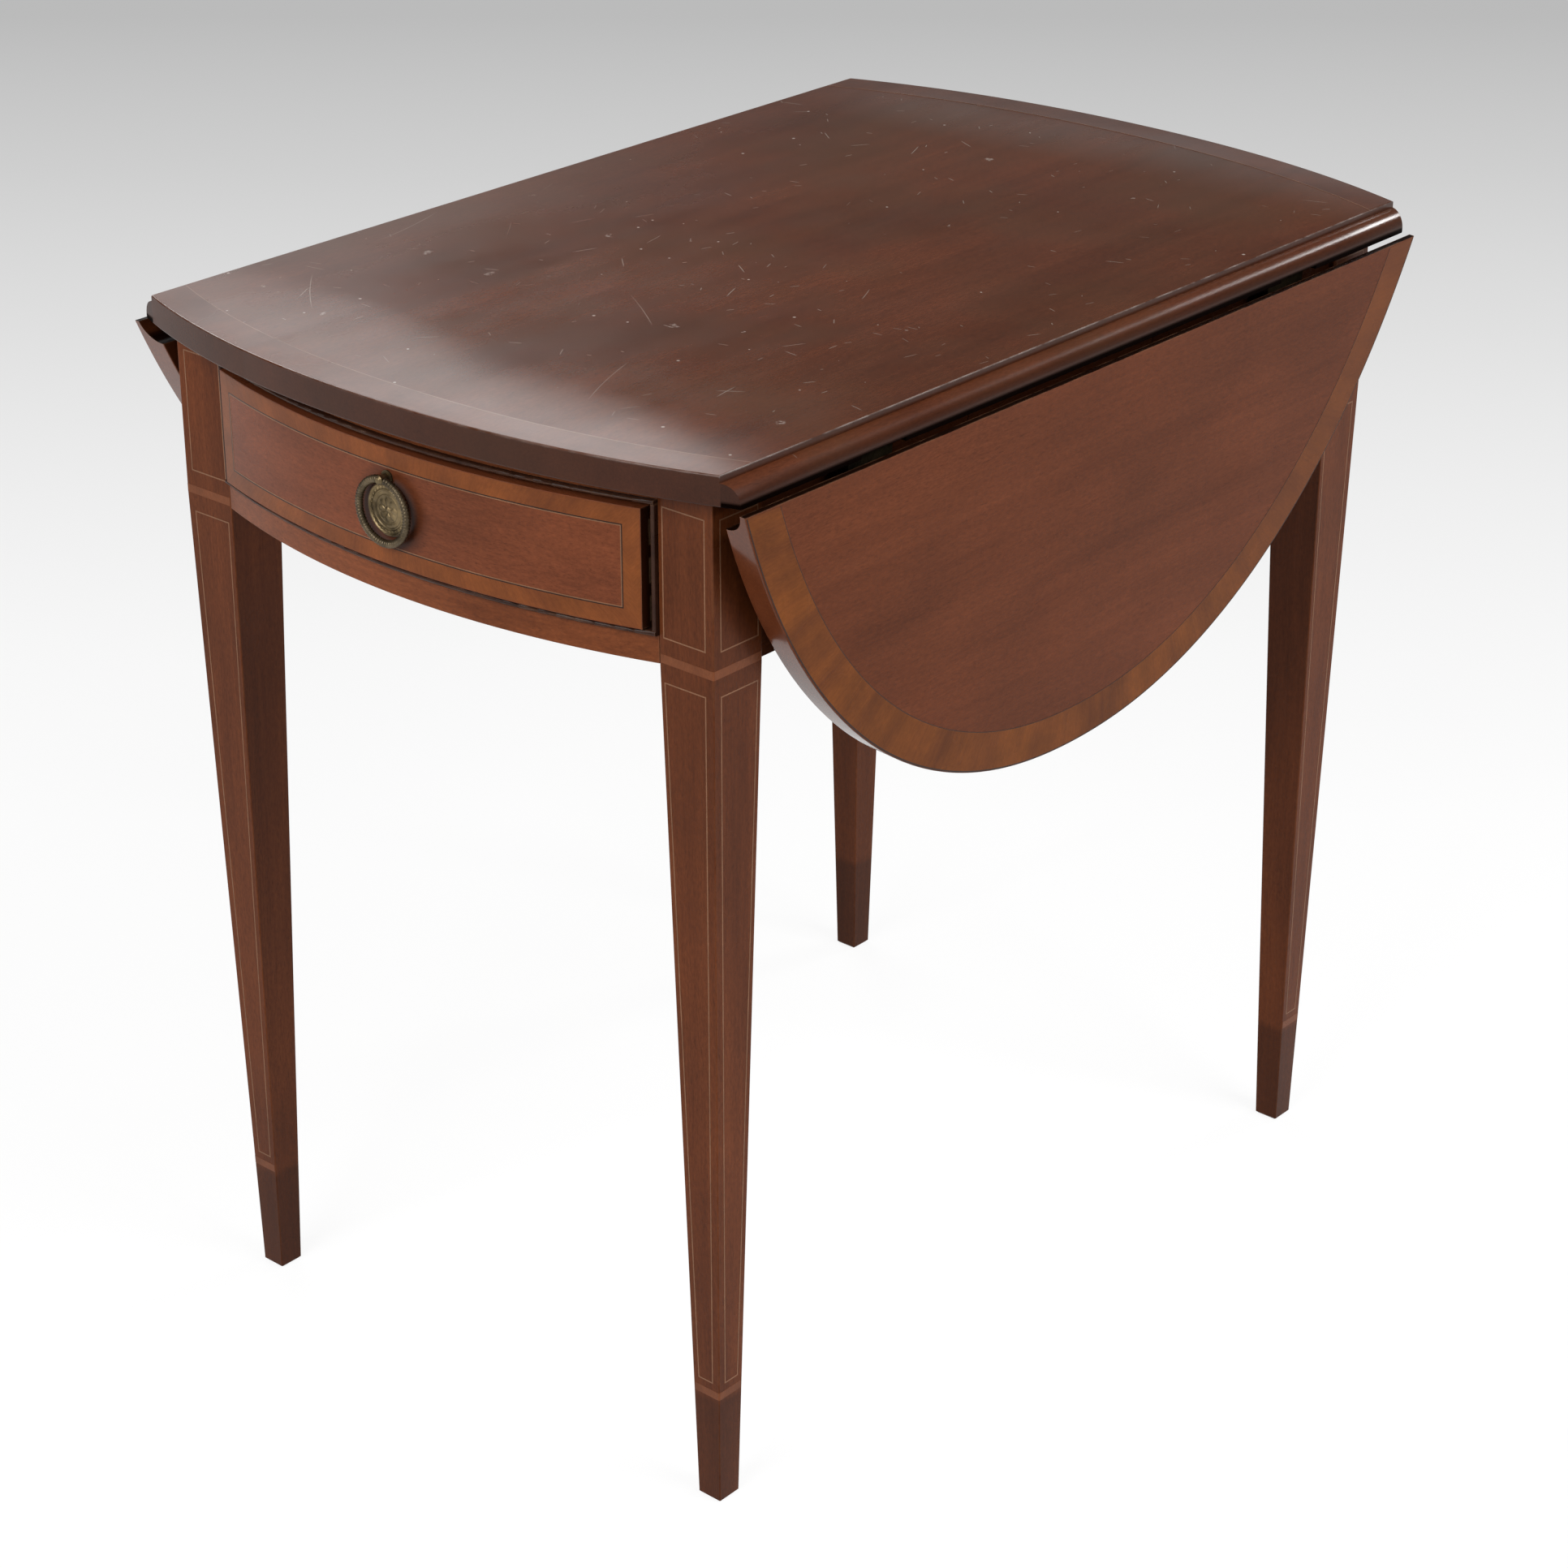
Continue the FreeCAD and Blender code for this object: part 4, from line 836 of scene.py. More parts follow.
PULL_BRASS = MetalFinish("pull_brass", (0.265, 0.192, 0.098), (0.068, 0.049, 0.025), (0.34, 0.52))
RING_BRASS = MetalFinish("ring_brass", (0.155, 0.116, 0.070), (0.034, 0.025, 0.015), (0.36, 0.55))
# Dark as painted shade: the hinges show only in the shaded joint gap.
HINGE_BRASS = MetalFinish("hinge_brass", (0.050, 0.036, 0.018), (0.014, 0.010, 0.0055), (0.45, 0.65))
STEEL = MetalFinish("screw_steel", (0.30, 0.29, 0.27), (0.10, 0.09, 0.08), (0.4, 0.6))


class Workshop:
    """Hands out each finish's material once, dresses nodes and takes in new pieces."""

    def __init__(self) -> None:
        """Builds the shared groups and starts with no materials."""
        self.effects = Effects()
        self.made: dict[str, bpy.types.Material] = {}

    def material(self, finish: Finish) -> bpy.types.Material:
        """The material of a finish.

        Args:
            finish: Any of the finishes above.

        Returns:
            The material, built at its first use.
        """
        if finish.name not in self.made:
            self.made[finish.name] = finish.build(self.effects)
        return self.made[finish.name]

    def dress(self, finish: Finish, *nodes: str) -> None:
        """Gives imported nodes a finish.

        Args:
            finish: The finish.
            nodes: Names of the nodes.
        """
        for name in nodes:
            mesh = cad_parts[name].data
            mesh.materials.clear()
            mesh.materials.append(self.material(finish))
            log.info("dressed %s in %s", name, finish.name)

    def adopt(self, mesh: bpy.types.Mesh, finish: Finish, body: str, slot: str) -> bpy.types.Object:
        """Makes an object of a mesh that rides on a body.

        Args:
            mesh: The mesh, whose name the piece takes.
            finish: Its finish.
            body: The body that carries it.
            slot: Not used.

        Returns:
            The object.
        """
        mesh.materials.append(self.material(finish))
        piece = bpy.data.objects.new(mesh.name, mesh)
        bpy.context.scene.collection.objects.link(piece)
        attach(piece, body)
        log.info("made %s on %s", piece.name, body)
        return piece


def meshed(work: bmesh.types.BMesh, mesh: bpy.types.Mesh) -> bpy.types.Mesh:
    """Ends a mesh with its faces turned outwards.

    Args:
        work: The mesh in work.
        mesh: Takes it.

    Returns:
        The mesh.
    """
    bmesh.ops.recalc_face_normals(work, faces=work.faces)
    work.to_mesh(mesh)
    work.free()
    return mesh


class Strips:
    """Collects thin inlaid strips, closed all round, in one mesh."""

    def __init__(self) -> None:
        """Starts empty."""
        self.points: list[Vector] = []
        self.faces: list[tuple[int, ...]] = []
        self.maps: list[Pair] = []

    def add(
        self, left: Sequence[Vector], right: Sequence[Vector], out: Sequence[Vector], closed: bool = False
    ) -> "Strips":
        """Adds one strip between two lines on a surface.

        Args:
            left: Points along one edge.
            right: Points along the other edge.
            out: Outward direction of the surface at each pair of points.
            closed: Whether the strip runs back into its start.

        Returns:
            The strips themselves.
        """
        base, count = len(self.points), len(left)
        middles = [(a + b) / 2 for a, b in zip(left, right)]
        ways = [0.0]
        for a, b in zip(middles, middles[1:] + middles[:1]):
            ways.append(ways[-1] + (b - a).length)
        for a, b, way in zip(left, right, out):
            lift, sink = way * PROUD, way * -SUNK
            self.points += [a + lift, b + lift, b + sink, a + sink]
        width = (left[0] - right[0]).length
        across = (0.0, width, width, 0.0)
        for i in range(count if closed else count - 1):
            here, there = base + 4 * i, base + 4 * ((i + 1) % count)
            for k, m in ((0, 1), (1, 2), (2, 3), (3, 0)):
                self.faces.append((here + k, here + m, there + m, there + k))
                for way, corner in ((i, k), (i, m), (i + 1, m), (i + 1, k)):
                    self.maps.append((ways[way], across[corner]))
        for i in () if closed else (0, count - 1):
            self.faces.append(tuple(base + 4 * i + k for k in range(4)))
            self.maps += [(ways[i], side) for side in across]
        return self

    def mesh(self, name: str) -> bpy.types.Mesh:
        """Turns the strips into a mesh with its map along the strips.

        Args:
            name: Name of the mesh.

        Returns:
            The mesh.
        """
        mesh = bpy.data.meshes.new(name)
        mesh.from_pydata(self.points, [], self.faces)
        layer = mesh.uv_layers.new(name="along")
        for loop, spot in zip(layer.data, self.maps):
            loop.uv = spot
        work = bmesh.new()
        work.from_mesh(mesh)
        return meshed(work, mesh)


def even(points: Sequence[Vector], count: int) -> list[Vector]:
    """Spreads points evenly along a line.

    Args:
        points: Points of the line.
        count: How many to spread.

    Returns:
        The even points, ends included.
    """
    ways = [0.0]
    for a, b in zip(points, points[1:]):
        ways.append(ways[-1] + (b - a).length)
    result, k = [], 0
    for i in range(count):
        want = ways[-1] * i / (count - 1)
        while k < len(ways) - 2 and ways[k + 1] < want:
            k += 1
        share = (want - ways[k]) / max(ways[k + 1] - ways[k], TINY)
        result.append(points[k].lerp(points[k + 1], min(share, 1.0)))
    return result


@dataclass
class Oval:
    """Outline of the open top, and strips that run inside it."""

    half_width: float = 510.0
    half_length: float = 386.0
    power: float = 2.11
    fine: int = 2400

    def _point(self, turn: float, inset: float) -> Vector:
        """A point at a set distance inside the outline.

        Args:
            turn: Angle parameter, 0 at the tip of the right leaf.
            inset: Distance from the outline.

        Returns:
            The point in millimetres, on the plane z = 0.
        """
        halves = (self.half_width, self.half_length)
        place, slope = [], []
        for part, half in zip((math.cos(turn), math.sin(turn)), halves):
            reach = math.copysign(abs(part) ** (2 / self.power), part) * half
            place.append(reach)
            slope.append(math.copysign((abs(reach) / half) ** (self.power - 1) / half, reach))
        return Vector((*place, 0.0)) - Vector((*slope, 0.0)).normalized() * inset

    def _line(self, inset: float, keep: Callable[[Vector], bool], count: int) -> list[Vector]:
        """Even points along a line at a set distance inside the outline.

        Args:
            inset: Distance from the outline in millimetres.
            keep: Tells whether a point belongs to the wanted stretch.
            count: How many points.

        Returns:
            The points in order of their turn.
        """
        dense = [self._point(TURN * (i + 0.5) / self.fine - math.pi, inset) for i in range(self.fine)]
        flags = [keep(p) for p in dense]
        start = next(i for i in range(self.fine) if flags[i] and not flags[i - 1])
        kept = []
        while flags[start % self.fine]:
            kept.append(dense[start % self.fine])
            start += 1
        return even(kept, count)

    def strip(
        self, insets: Pair, keep: Callable[[Vector], bool], laid: Callable[[Vector], Vector], out: Vector, count: int
    ) -> Strips:
        """A strip between two insets along the kept stretch of the outline, laid on a surface in metres."""
        lines = [[laid(p) for p in self._line(inset, keep, count)] for inset in insets]
        return Strips().add(*lines, [out] * count)


OVAL = Oval()


@dataclass
class Piece:
    """A sub-assembly, which the workshop dresses."""

    shop: Workshop


@dataclass
class Top(Piece):
    """The fixed top with a crossband and a string along each bowed end."""

    height: float = 724.0
    half_flat: float = 242.5
    clearance: float = 0.4
    edge: float = 1.1
    band: float = 26.0
    string: float = 0.8
    stations: int = 90

    def _strip(self, end: End, insets: Pair) -> Strips:
        """A strip along one bowed end.

        Args:
            end: Which end.
            insets: Distances of its two edges from the outline.

        Returns:
            The strip.
        """
        def keep(place: Vector) -> bool:
            """Whether a point lies on the flat of this end."""
            return abs(place.x) <= self.half_flat - self.clearance and place.y * end.value > 0

        def laid(place: Vector) -> Vector:
            """Lifts a point to the top, in metres."""
            return (place + UP * self.height) * MM

        return OVAL.strip(insets, keep, laid, UP, self.stations)

    def build(self) -> None:
        """Dresses the top and lays its inlay."""
        self.shop.dress(TOP_WOOD, "top_board")
        layers = (
            ("crossband", TOP_BAND, (self.edge, self.band)),
            ("string", TOP_STRING, (self.band, self.band + self.string)),
        )
        for end in End:
            for name, finish, insets in layers:
                mesh = self._strip(end, insets).mesh(f"top_{name}_{end.word}")
                self.shop.adopt(mesh, finish, "frame", "top_mahogany")


@dataclass
class Leaf(Piece):
    """A hanging leaf with a crossband round its curve."""

    side: Side
    height: float = 724.0
    underside: float = 705.0
    half_flat: float = 242.5
    joint: float = 0.9
    lean: float = 94.5
    arris: Pair = (0.9, 1.7)
    band: float = 27.5
    line: float = 0.45
    stations: int = 120

    def _lowered(self, place: Vector) -> Vector:
        """Swings a point of the raised right leaf to where this leaf hangs.

        Args:
            place: The point in millimetres.

        Returns:
            The point in metres.
        """
        axis = Vector((self.half_flat, 0.0, self.underside))
        swung = Matrix.Rotation(math.radians(self.lean), 3, "Y") @ (place - axis) + axis
        return Vector((swung.x * self.side.value, swung.y, swung.z)) * MM

    def _strip(self, insets: Pair) -> Strips:
        """A strip along the leaf's curve.

        Args:
            insets: Distances of its two edges from the outline.

        Returns:
            The strip.
        """
        def keep(place: Vector) -> bool:
            """Whether a point lies on the right leaf."""
            return place.x >= self.half_flat + self.joint

        def laid(place: Vector) -> Vector:
            """Lays a point on the hanging leaf, in metres."""
            return self._lowered(place + UP * self.height)

        middle = Vector((self.half_flat, 0.0, 0.0))
        out = (laid(middle) - self._lowered(middle + UP * self.underside)).normalized()
        return OVAL.strip(insets, keep, laid, out, self.stations)

    def build(self) -> None:
        """Dresses the leaf and lays its inlay."""
        word = self.side.word
        self.shop.dress(LEAF_WOOD if self.side is Side.RIGHT else LEFT_LEAF_WOOD, "leaf_board_" + word)
        self.shop.dress(HINGE_BRASS, "hinge_leaf_plates_" + word)
        self.shop.dress(STEEL, "hinge_leaf_screws_" + word)
        layers = (
            ("edge_line", DARK_STRING, self.arris),
            ("crossband", LEAF_BAND, (self.arris[1], self.band)),
            ("inner_line", DARK_STRING, (self.band, self.band + self.line)),
        )
        for name, finish, insets in layers:
            mesh = self._strip(insets).mesh(f"leaf_{name}_{word}")
            self.shop.adopt(mesh, finish, "leaf_" + word, "leaf_mahogany")


@dataclass
class Leg(Piece):
    """A square tapered leg with string panels and bands on its two outer faces."""

    side: Side
    end: End
    out_x: float = 230.0
    out_y: float = 338.0
    square: float = 42.5
    foot: float = 18.5
    foot_inset: float = 10.0
    apron: float = 591.0
    sole: float = 1.5
    round: float = 0.8
    string: float = 0.85
    outer_margin: Pair = (6.0, 5.2)
    inner_margin: Pair = (3.2, 4.4)
    upper: Pair = (608.0, 690.5)
    lower: Pair = (92.5, 580.0)
    knee_band: Pair = (592.0, 597.6)
    ankle_band: Pair = (81.5, 87.2)

    def _taper(self, z: float) -> float:
        """Share of the taper at a height, 0 at the apron and 1 at the sole."""
        return max(0.0, self.apron - z) / (self.apron - self.sole)

    def _size(self, z: float) -> float:
        """Width of the leg at a height."""
        return self.square - (self.square - self.foot) * self._taper(z)

    def _spot(self, z: float, in_x: float, in_y: float) -> Vector:
        """A point at a height, set in from the planes of the outer faces.

        Args:
            z: Height.
            in_x: Distance from the face to the side.
            in_y: Distance from the face at the end.

        Returns:
            The point in metres.
        """
        inset = self.foot_inset * self._taper(z)
        x, y = self.out_x - inset - in_x, self.out_y - inset - in_y
        return Vector((x * self.side.value, y * self.end.value, z)) * MM

    def _out(self, on_side: bool) -> Vector:
        """Outward direction of the face to the side, or else of the one at the end."""
        return Vector((self.side.value, 0, 0)) if on_side else Vector((0, self.end.value, 0))

    def _panel(self, strips: Strips, on_side: bool, low: float, high: float) -> None:
        """Adds a string panel to an outer face.

        Args:
            strips: Takes the string.
            on_side: Whether it is the face to the side.
            low: Height of its lower line.
            high: Height of its upper line.
        """
        rings = []
        for grow in (0.0, self.string):
            rows = []
            for z in (low + grow, high - grow):
                share = min(max((z - self.lower[0]) / (self.apron - self.lower[0]), 0.0), 1.0)
                margins = (self.outer_margin, self.inner_margin)
                outer, inner = (foot + (head - foot) * share + grow for head, foot in margins)
                spots = (outer, self._size(z) - inner)
                rows.append([self._spot(z, *((0.0, spot) if on_side else (spot, 0.0))) for spot in spots])
            rings.append(rows[0] + rows[1][::-1])
        strips.add(*rings, [self._out(on_side)] * 4, closed=True)

    def _band(self, strips: Strips, low: float, high: float) -> None:
        """Adds a band round the two outer faces.

        Args:
            strips: Takes the band.
            low: Height of its lower edge.
            high: Height of its upper edge.
        """
        dip = self.round * (1 - math.sqrt(0.5))
        far = self._size(low) - self.round
        stops = ((far, 0.0), (self.round, 0.0), (dip, dip), (0.0, self.round), (0.0, far))
        lines = [[self._spot(z, *stop) for stop in stops] for z in (low, high)]
        corner = (self._out(True) + self._out(False)).normalized()
        strips.add(*lines, [self._out(False)] * 2 + [corner] + [self._out(True)] * 2)

    def build(self) -> None:
        """Dresses the leg and lays its inlay."""
        name = f"leg_{self.end.word}_{self.side.word}"
        self.shop.dress(LEG_WOOD, name)
        strings, bands = Strips(), Strips()
        for on_side in (False, True):
            self._panel(strings, on_side, *self.upper)
            self._panel(strings, on_side, *self.lower)
        self._band(bands, *self.knee_band)
        self._band(bands, *self.ankle_band)
        self.shop.adopt(strings.mesh(name + "_strings"), PALE_STRING, "frame", "frame_mahogany")
        self.shop.adopt(bands.mesh(name + "_bands"), LEG_BAND, "frame", "frame_mahogany")


@dataclass
class Carcase(Piece):
    """Rails, beads, fly brackets and the hidden supports of the drawer."""

    def build(self) -> None:
        """Dresses the carcase."""
        self.shop.dress(RAIL_WOOD, "front_rail", "top_rail", "back_rail")
        self.shop.dress(BEAD_WOOD, "bead_top", "bead_bottom", "bead_left", "bead_right")
        self.shop.dress(OAK, "drawer_stops", "glue_blocks")
        self.shop.dress(STEEL, "hinge_top_screws", "top_screws")
        for side in Side:
            word = "_" + side.word
            self.shop.dress(SIDE_WOOD, "outer_rail_front" + word, "outer_rail_back" + word, "fly_bracket" + word)
            self.shop.dress(OAK, "side_rail" + word, "drawer_runner" + word, "drawer_kicker" + word)
            self.shop.dress(HINGE_BRASS, "hinge_top_plates" + word)
            self.shop.dress(STEEL, "hinge_pins" + word, "fly_pin" + word)


@dataclass
class Drawer(Piece):
    """The bowed drawer with a crossband and a double string round its front."""

    half: float = 181.0
    low: float = 613.0
    high: float = 688.5
    radius: float = 605.9375
    centre_y: float = 232.9375
    edge: float = 0.5
    band: float = 11.3
    dark_line: float = 0.75
    pale_line: float = 0.65
    stations: int = 48

    def _out(self, x: float) -> Vector:
        """Outward direction of the bowed face at a place across, as long as its radius."""
        return Vector((x, -math.sqrt(self.radius**2 - x**2), 0.0))

    def _frame_strip(self, insets: Pair) -> Strips:
        """A strip that runs round the face.

        Args:
            insets: Distances of its two edges from the front's edge.

        Returns:
            The strip.
        """
        centre = Vector((0.0, self.centre_y, 0.0))
        rings = []
        for inset in insets:
            reach = self.half - inset
            row = [reach * (2 * i / (self.stations - 1) - 1) for i in range(self.stations)]
            rings.append([(x, self.low + inset) for x in row] + [(x, self.high - inset) for x in row[::-1]])
        lines = [[(centre + self._out(x) + UP * z) * MM for x, z in ring] for ring in rings]
        return Strips().add(*lines, [self._out(x).normalized() for x, _ in rings[0]], closed=True)

    def build(self) -> None:
        """Dresses the drawer and lays its inlay."""
        self.shop.dress(DRAWER_WOOD, "drawer_front")
        self.shop.dress(DRAWER_OAK, "drawer_side_left", "drawer_side_right")
        self.shop.dress(OAK, "drawer_back", "drawer_bottom")
        self.shop.dress(STEEL, "pull_nut")
        pale = self.band + self.dark_line
        layers = (
            ("crossband", BAND, (self.edge, self.band)),
            ("dark_line", DARK_STRING, (self.band, pale)),
            ("pale_line", PALE_STRING, (pale, pale + self.pale_line)),
        )
        for name, finish, insets in layers:
            self.shop.adopt(self._frame_strip(insets).mesh("drawer_" + name), finish, "drawer", "drawer_mahogany")


@dataclass
class RingPull(Piece):
    """Brass ring pull: a ribbed ring on a post over a stamped rosette."""

    face_y: float = -373.0
    pull_z: float = 649.5
    ring_y: float = -378.4
    ring_radius: float = 20.5
    wire: float = 2.6
    wire_sides: int = 20
    rib_count: int = 60
    rib_steps: int = 4
    rib_depth: float = 0.5
    end_gap: float = 3.4
    pin_radius: float = 1.1
    pin_start: float = 0.4
    pin_overlap: float = 1.2
    pin_sides: int = 12
    rosette_radius: float = 17.3
    rosette_rings: int = 46
    rosette_sides: int = 240
    plate: float = 1.15
    raised_rings: tuple[Triple, ...] = ((0.93, 0.06, 0.9), (0.72, 0.05, 0.7), (0.52, 0.035, 0.45))
    bead_ring: Triple = (0.825, 0.05, 0.55)
    flower_middle: float = 0.29
    flower_half: Pair = (0.06, 0.12)
    flower_height: Pair = (0.225, 0.525)
    boss: Triple = (0.0, 0.12, 1.0)
    rim: Pair = (0.985, 0.6)
    bite: float = 4.7
    petals: int = 8
    beads: int = 30
    weld: float = 0.0005

    @staticmethod
    def _skin(work: bmesh.types.BMesh, loops: Sequence[Sequence[Vector]]) -> None:
        """Skins a run of loops and shuts its ends.

        Args:
            work: The mesh in work.
            loops: Points of each loop in millimetres.
        """
        rows = [[work.verts.new(place * MM) for place in loop] for loop in loops]
        for a, b in zip(rows, rows[1:]):
            for k in range(len(a)):
                work.faces.new((a[k - 1], a[k], b[k], b[k - 1]))
        work.faces.new(rows[0])
        work.faces.new(rows[-1][::-1])

    def _ring(self) -> bpy.types.Mesh:
        """The ribbed ring with its closed ends and pivots.

        Returns:
            The mesh.
        """
        start = math.asin(self.end_gap / self.ring_radius)
        steps = self.rib_count * self.rib_steps
        work = bmesh.new()
        loops = []
        for i in range(steps + 1):
            turn = start + (TURN - 2 * start) * i / steps
            middle = Vector((math.sin(turn), 0.0, math.cos(turn)))
            wire = self.wire - self.rib_depth * (0.5 - 0.5 * math.cos(TURN * self.rib_count * i / steps))
            loop = []
            for angle in (TURN * k / self.wire_sides for k in range(self.wire_sides)):
                spot = middle * (self.ring_radius + wire * math.cos(angle))
                loop.append(spot + Vector((0.0, self.ring_y + wire * math.sin(angle), self.pull_z)))
            loops.append(loop)
        self._skin(work, loops)
        pivot = self.pull_z + self.ring_radius
        for side in Side:
            loops = []
            for x in (self.pin_start, self.end_gap + self.pin_overlap):
                loop = []
                for angle in (TURN * k / self.pin_sides for k in range(self.pin_sides)):
                    y, z = self.pin_radius * math.cos(angle), self.pin_radius * math.sin(angle)
                    loop.append(Vector((side.value * x, self.ring_y + y, pivot + z)))
                loops.append(loop)
            self._skin(work, loops)
        return self._smooth(work, "pull_ring_ribbed")

    def _rise(self, radius: float, turn: float) -> float:
        """Height of the rosette's stamped relief.

        Args:
            radius: Distance from its middle.
            turn: Angle round its middle.

        Returns:
            The height above the drawer front in millimetres.
        """
        share = radius / self.rosette_radius
        middle, half, height = self.bead_ring
        bead = (middle, half, height * max(math.cos(self.beads * turn), 0.0))
        petal = abs(math.cos(self.petals * turn / 2))
        wide, high = (least + more * petal for least, more in (self.flower_half, self.flower_height))
        flower = (self.flower_middle, wide, high)
        rise = self.plate
        for middle, half, height in (*self.raised_rings, bead, flower, self.boss):
            off = abs(share - middle) / half
            if off < 1:
                rise += height * math.cos(off * math.pi / 2)
        return rise * (self.rim[1] if share > self.rim[0] else 1.0)

    def _rosette(self) -> bpy.types.Mesh:
        """The stamped rosette, bitten out round the post.

        Returns:
            The mesh.
        """
        sides = self.rosette_sides
        pivot = Vector((0.0, 0.0, self.ring_radius))
        work = bmesh.new()
        rows = []
        for i in range(1, self.rosette_rings + 1):
            row = []
            radius = self.rosette_radius * i / self.rosette_rings
            for turn in (TURN * k / sides for k in range(sides)):
                spot = Vector((math.sin(turn), 0.0, math.cos(turn))) * radius
                if (spot - pivot).length < self.bite:
                    spot = pivot + (spot - pivot).normalized() * self.bite
                place = Vector((spot.x, self.face_y - self._rise(radius, turn), self.pull_z + spot.z))
                row.append(work.verts.new(place * MM))
            rows.append(row)
        centre = work.verts.new(Vector((0.0, self.face_y - self._rise(0.0, 0.0), self.pull_z)) * MM)
        rows.append([work.verts.new(Vector((v.co.x, self.face_y * MM, v.co.z))) for v in rows[-1]])
        for k in range(sides):
            work.faces.new((centre, rows[0][k - 1], rows[0][k]))
            for a, b in zip(rows, rows[1:]):
                work.faces.new((a[k - 1], b[k - 1], b[k], a[k]))
        work.faces.new(rows[-1])
        bmesh.ops.remove_doubles(work, verts=work.verts, dist=self.weld * MM)
        return self._smooth(work, "pull_rosette_stamped")

    @staticmethod
    def _smooth(work: bmesh.types.BMesh, name: str) -> bpy.types.Mesh:
        """Ends a mesh with smooth shading.

        Args:
            work: The mesh in work.
            name: Name of the mesh.

        Returns:
            The mesh.
        """
        mesh = meshed(work, bpy.data.meshes.new(name))
        mesh.shade_smooth()
        return mesh

    def build(self) -> None:
        """Makes the pull."""
        self.shop.dress(PULL_BRASS, "pull_post")
        ring = self.shop.adopt(self._ring(), RING_BRASS, "pull_ring", "pull_brass")
        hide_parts("pull_ring")
        rosette = self.shop.adopt(self._rosette(), PULL_BRASS, "drawer", "pull_brass")
        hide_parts("pull_rosette")


def stood(name: str, data: bpy.types.ID, place: Sequence[float], look: Vector) -> bpy.types.Object:
    """Stands a camera or a lamp in the studio.

    Args:
        name: Its name.
        data: The camera or lamp.
        place: Where it stands.
        look: Which way it faces.

    Returns:
        The object.
    """
    thing = bpy.data.objects.new(name, data)
    thing.location = place
    thing.rotation_euler = look.to_track_quat("-Z", "Y").to_euler()
    bpy.context.scene.collection.objects.link(thing)
    return thing


@dataclass(frozen=True)
class Lamp:
    """A soft rectangular lamp that faces the table."""

    name: str
    azimuth: float
    elevation: float
    distance: float
    size: Pair
    power: float
    aim: float = 0.55

    def hang(self) -> None:
        """Hangs the lamp."""
        data = bpy.data.lights.new(self.name, "AREA")
        data.shape = "RECTANGLE"
        data.size, data.size_y = self.size
        data.energy = self.power
        a, e = math.radians(self.azimuth), math.radians(self.elevation)
        way = Vector((math.cos(a) * math.cos(e), math.sin(a) * math.cos(e), math.sin(e)))
        stood(self.name, data, UP * self.aim + way * self.distance, -way)


LAMPS = (
    Lamp("right_key", 6.0, 37.0, 3.2, (1.8, 1.8), 81.0),
    Lamp("front_key", -86.0, 32.0, 3.2, (1.8, 1.8), 79.0),
    Lamp("sheen_panel", 155.0, 36.5, 4.5, (2.8, 1.1), 47.0),
    Lamp("side_panel", 146.5, 25.0, 4.5, (0.8, 0.65), 3.5),
    Lamp("back_strip", 76.0, 28.0, 4.5, (0.85, 0.45), 42.0),
)


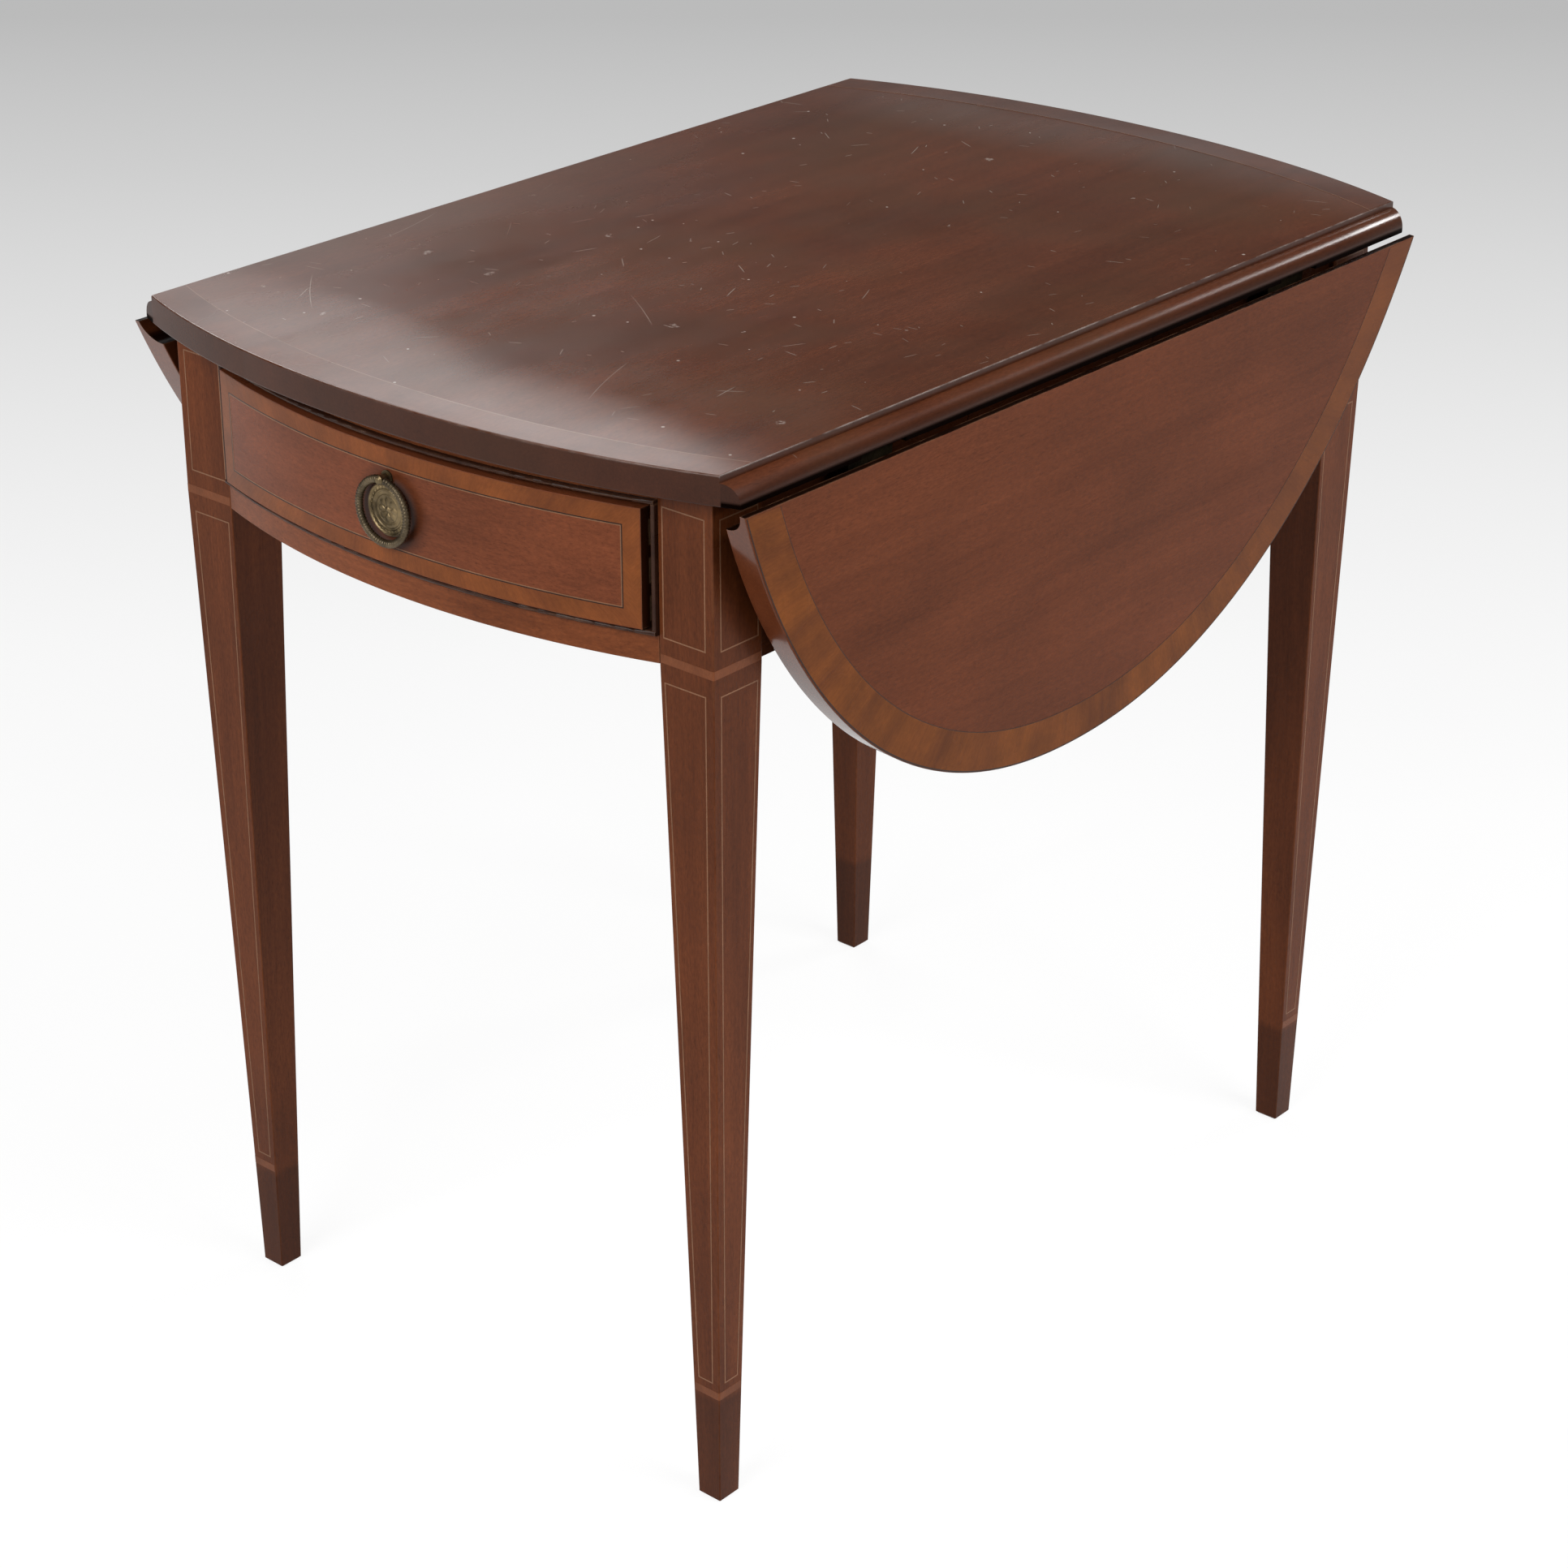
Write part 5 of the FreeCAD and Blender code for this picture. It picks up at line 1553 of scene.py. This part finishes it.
@dataclass
class Studio:
    """Pale floor, soft lamps and the camera."""

    lens: float = 85.387
    sensor: float = 36.0
    far: float = 100.0
    eye: Triple = (1.5452, -1.7897, 1.4741)
    target: Triple = (0.0021, -0.0139, 0.3355)
    floor_radius: float = 60.0
    floor_sides: int = 96
    ramp_length: float = 4.0
    ramp: tuple[Pair, ...] = (
        (0.117, 1.0), (0.152, 0.995), (0.242, 0.95), (0.35, 0.87), (0.485, 0.76), (0.656, 0.64), (0.869, 0.52)
    )
    glow: float = 0.88
    matt: float = 0.13
    bounce: float = 0.42
    ambient: float = 0.12
    horizon: float = 0.42
    horizon_band: Pair = (0.12, 0.27)

    def _look(self) -> Vector:
        """The way the camera faces."""
        return Vector(self.target) - Vector(self.eye)

    def _camera(self) -> None:
        """Stands the camera where the photograph was taken."""
        data = bpy.data.cameras.new("camera")
        data.lens = self.lens
        data.sensor_width = self.sensor
        data.clip_end = self.far
        bpy.context.scene.camera = stood("camera", data, self.eye, self._look())

    def _floor(self) -> None:
        """Lays a floor that is white round the table and greys away from it."""
        work = bmesh.new()
        bmesh.ops.create_circle(work, cap_ends=True, radius=self.floor_radius, segments=self.floor_sides)
        mesh = bpy.data.meshes.new("floor")
        work.to_mesh(mesh)
        work.free()
        floor = bpy.data.objects.new("floor", mesh)
        bpy.context.scene.collection.objects.link(floor)
        material, graph = new_material("floor")
        away = graph.vector("DOT_PRODUCT", graph.place(), self._look().to_2d().normalized().to_3d())
        ramp = graph.add("ValToRGB", {0: graph.math("DIVIDE", away, self.ramp_length)})
        elements = ramp.color_ramp.elements
        while len(elements) < len(self.ramp):
            elements.new(0.5)
        for element, (position, grey) in zip(elements, self.ramp):
            element.position = position
            element.color = (grey, grey, grey, 1.0)
        tone = ramp.outputs[0]
        glow = graph.add("Emission", {"Color": tone, "Strength": self.glow}).outputs[0]
        dim = graph.mix(1.0, tone, (self.matt,) * 3, "MULTIPLY")
        matt = graph.add("BsdfDiffuse", {"Color": dim}).outputs[0]
        shown = graph.add("AddShader", {0: glow, 1: matt}).outputs[0]
        other = graph.add("BsdfDiffuse", {"Color": (self.bounce,) * 3}).outputs[0]
        path = graph.add("LightPath").outputs
        seen = graph.most(path["Is Camera Ray"], path["Is Glossy Ray"], path["Is Transmission Ray"])
        both = graph.add("MixShader", {0: seen, 1: other, 2: shown}).outputs[0]
        graph.add("OutputMaterial", {"Surface": both})
        mesh.materials.append(material)

    def _world(self) -> None:
        """Fills the air with plain grey light, paler at the horizon."""
        world = bpy.data.worlds.new("studio")
        world.use_nodes = True
        graph = Graph(world.node_tree)
        up = graph.parts(graph.place("Generated"))[2]
        level = graph.span(up, *self.horizon_band, self.horizon, self.ambient)
        shader = graph.add("Background", {"Strength": level}).outputs[0]
        graph.add("OutputWorld", {"Surface": shader})
        bpy.context.scene.world = world

    def build(self) -> None:
        """Sets up the floor, the lamps and the camera."""
        bpy.context.scene.view_settings.view_transform = "Standard"
        self._camera()
        self._floor()
        self._world()
        for lamp in LAMPS:
            lamp.hang()
        log.info("studio ready")


def main() -> None:
    """Dresses the table and sets up the studio."""
    logging.basicConfig(level=logging.INFO)
    shop = Workshop()
    Top(shop).build()
    for side in Side:
        Leaf(shop, side).build()
        for end in End:
            Leg(shop, side, end).build()
    Carcase(shop).build()
    Drawer(shop).build()
    RingPull(shop).build()
    Studio().build()


if __name__ == "__main__":
    main()
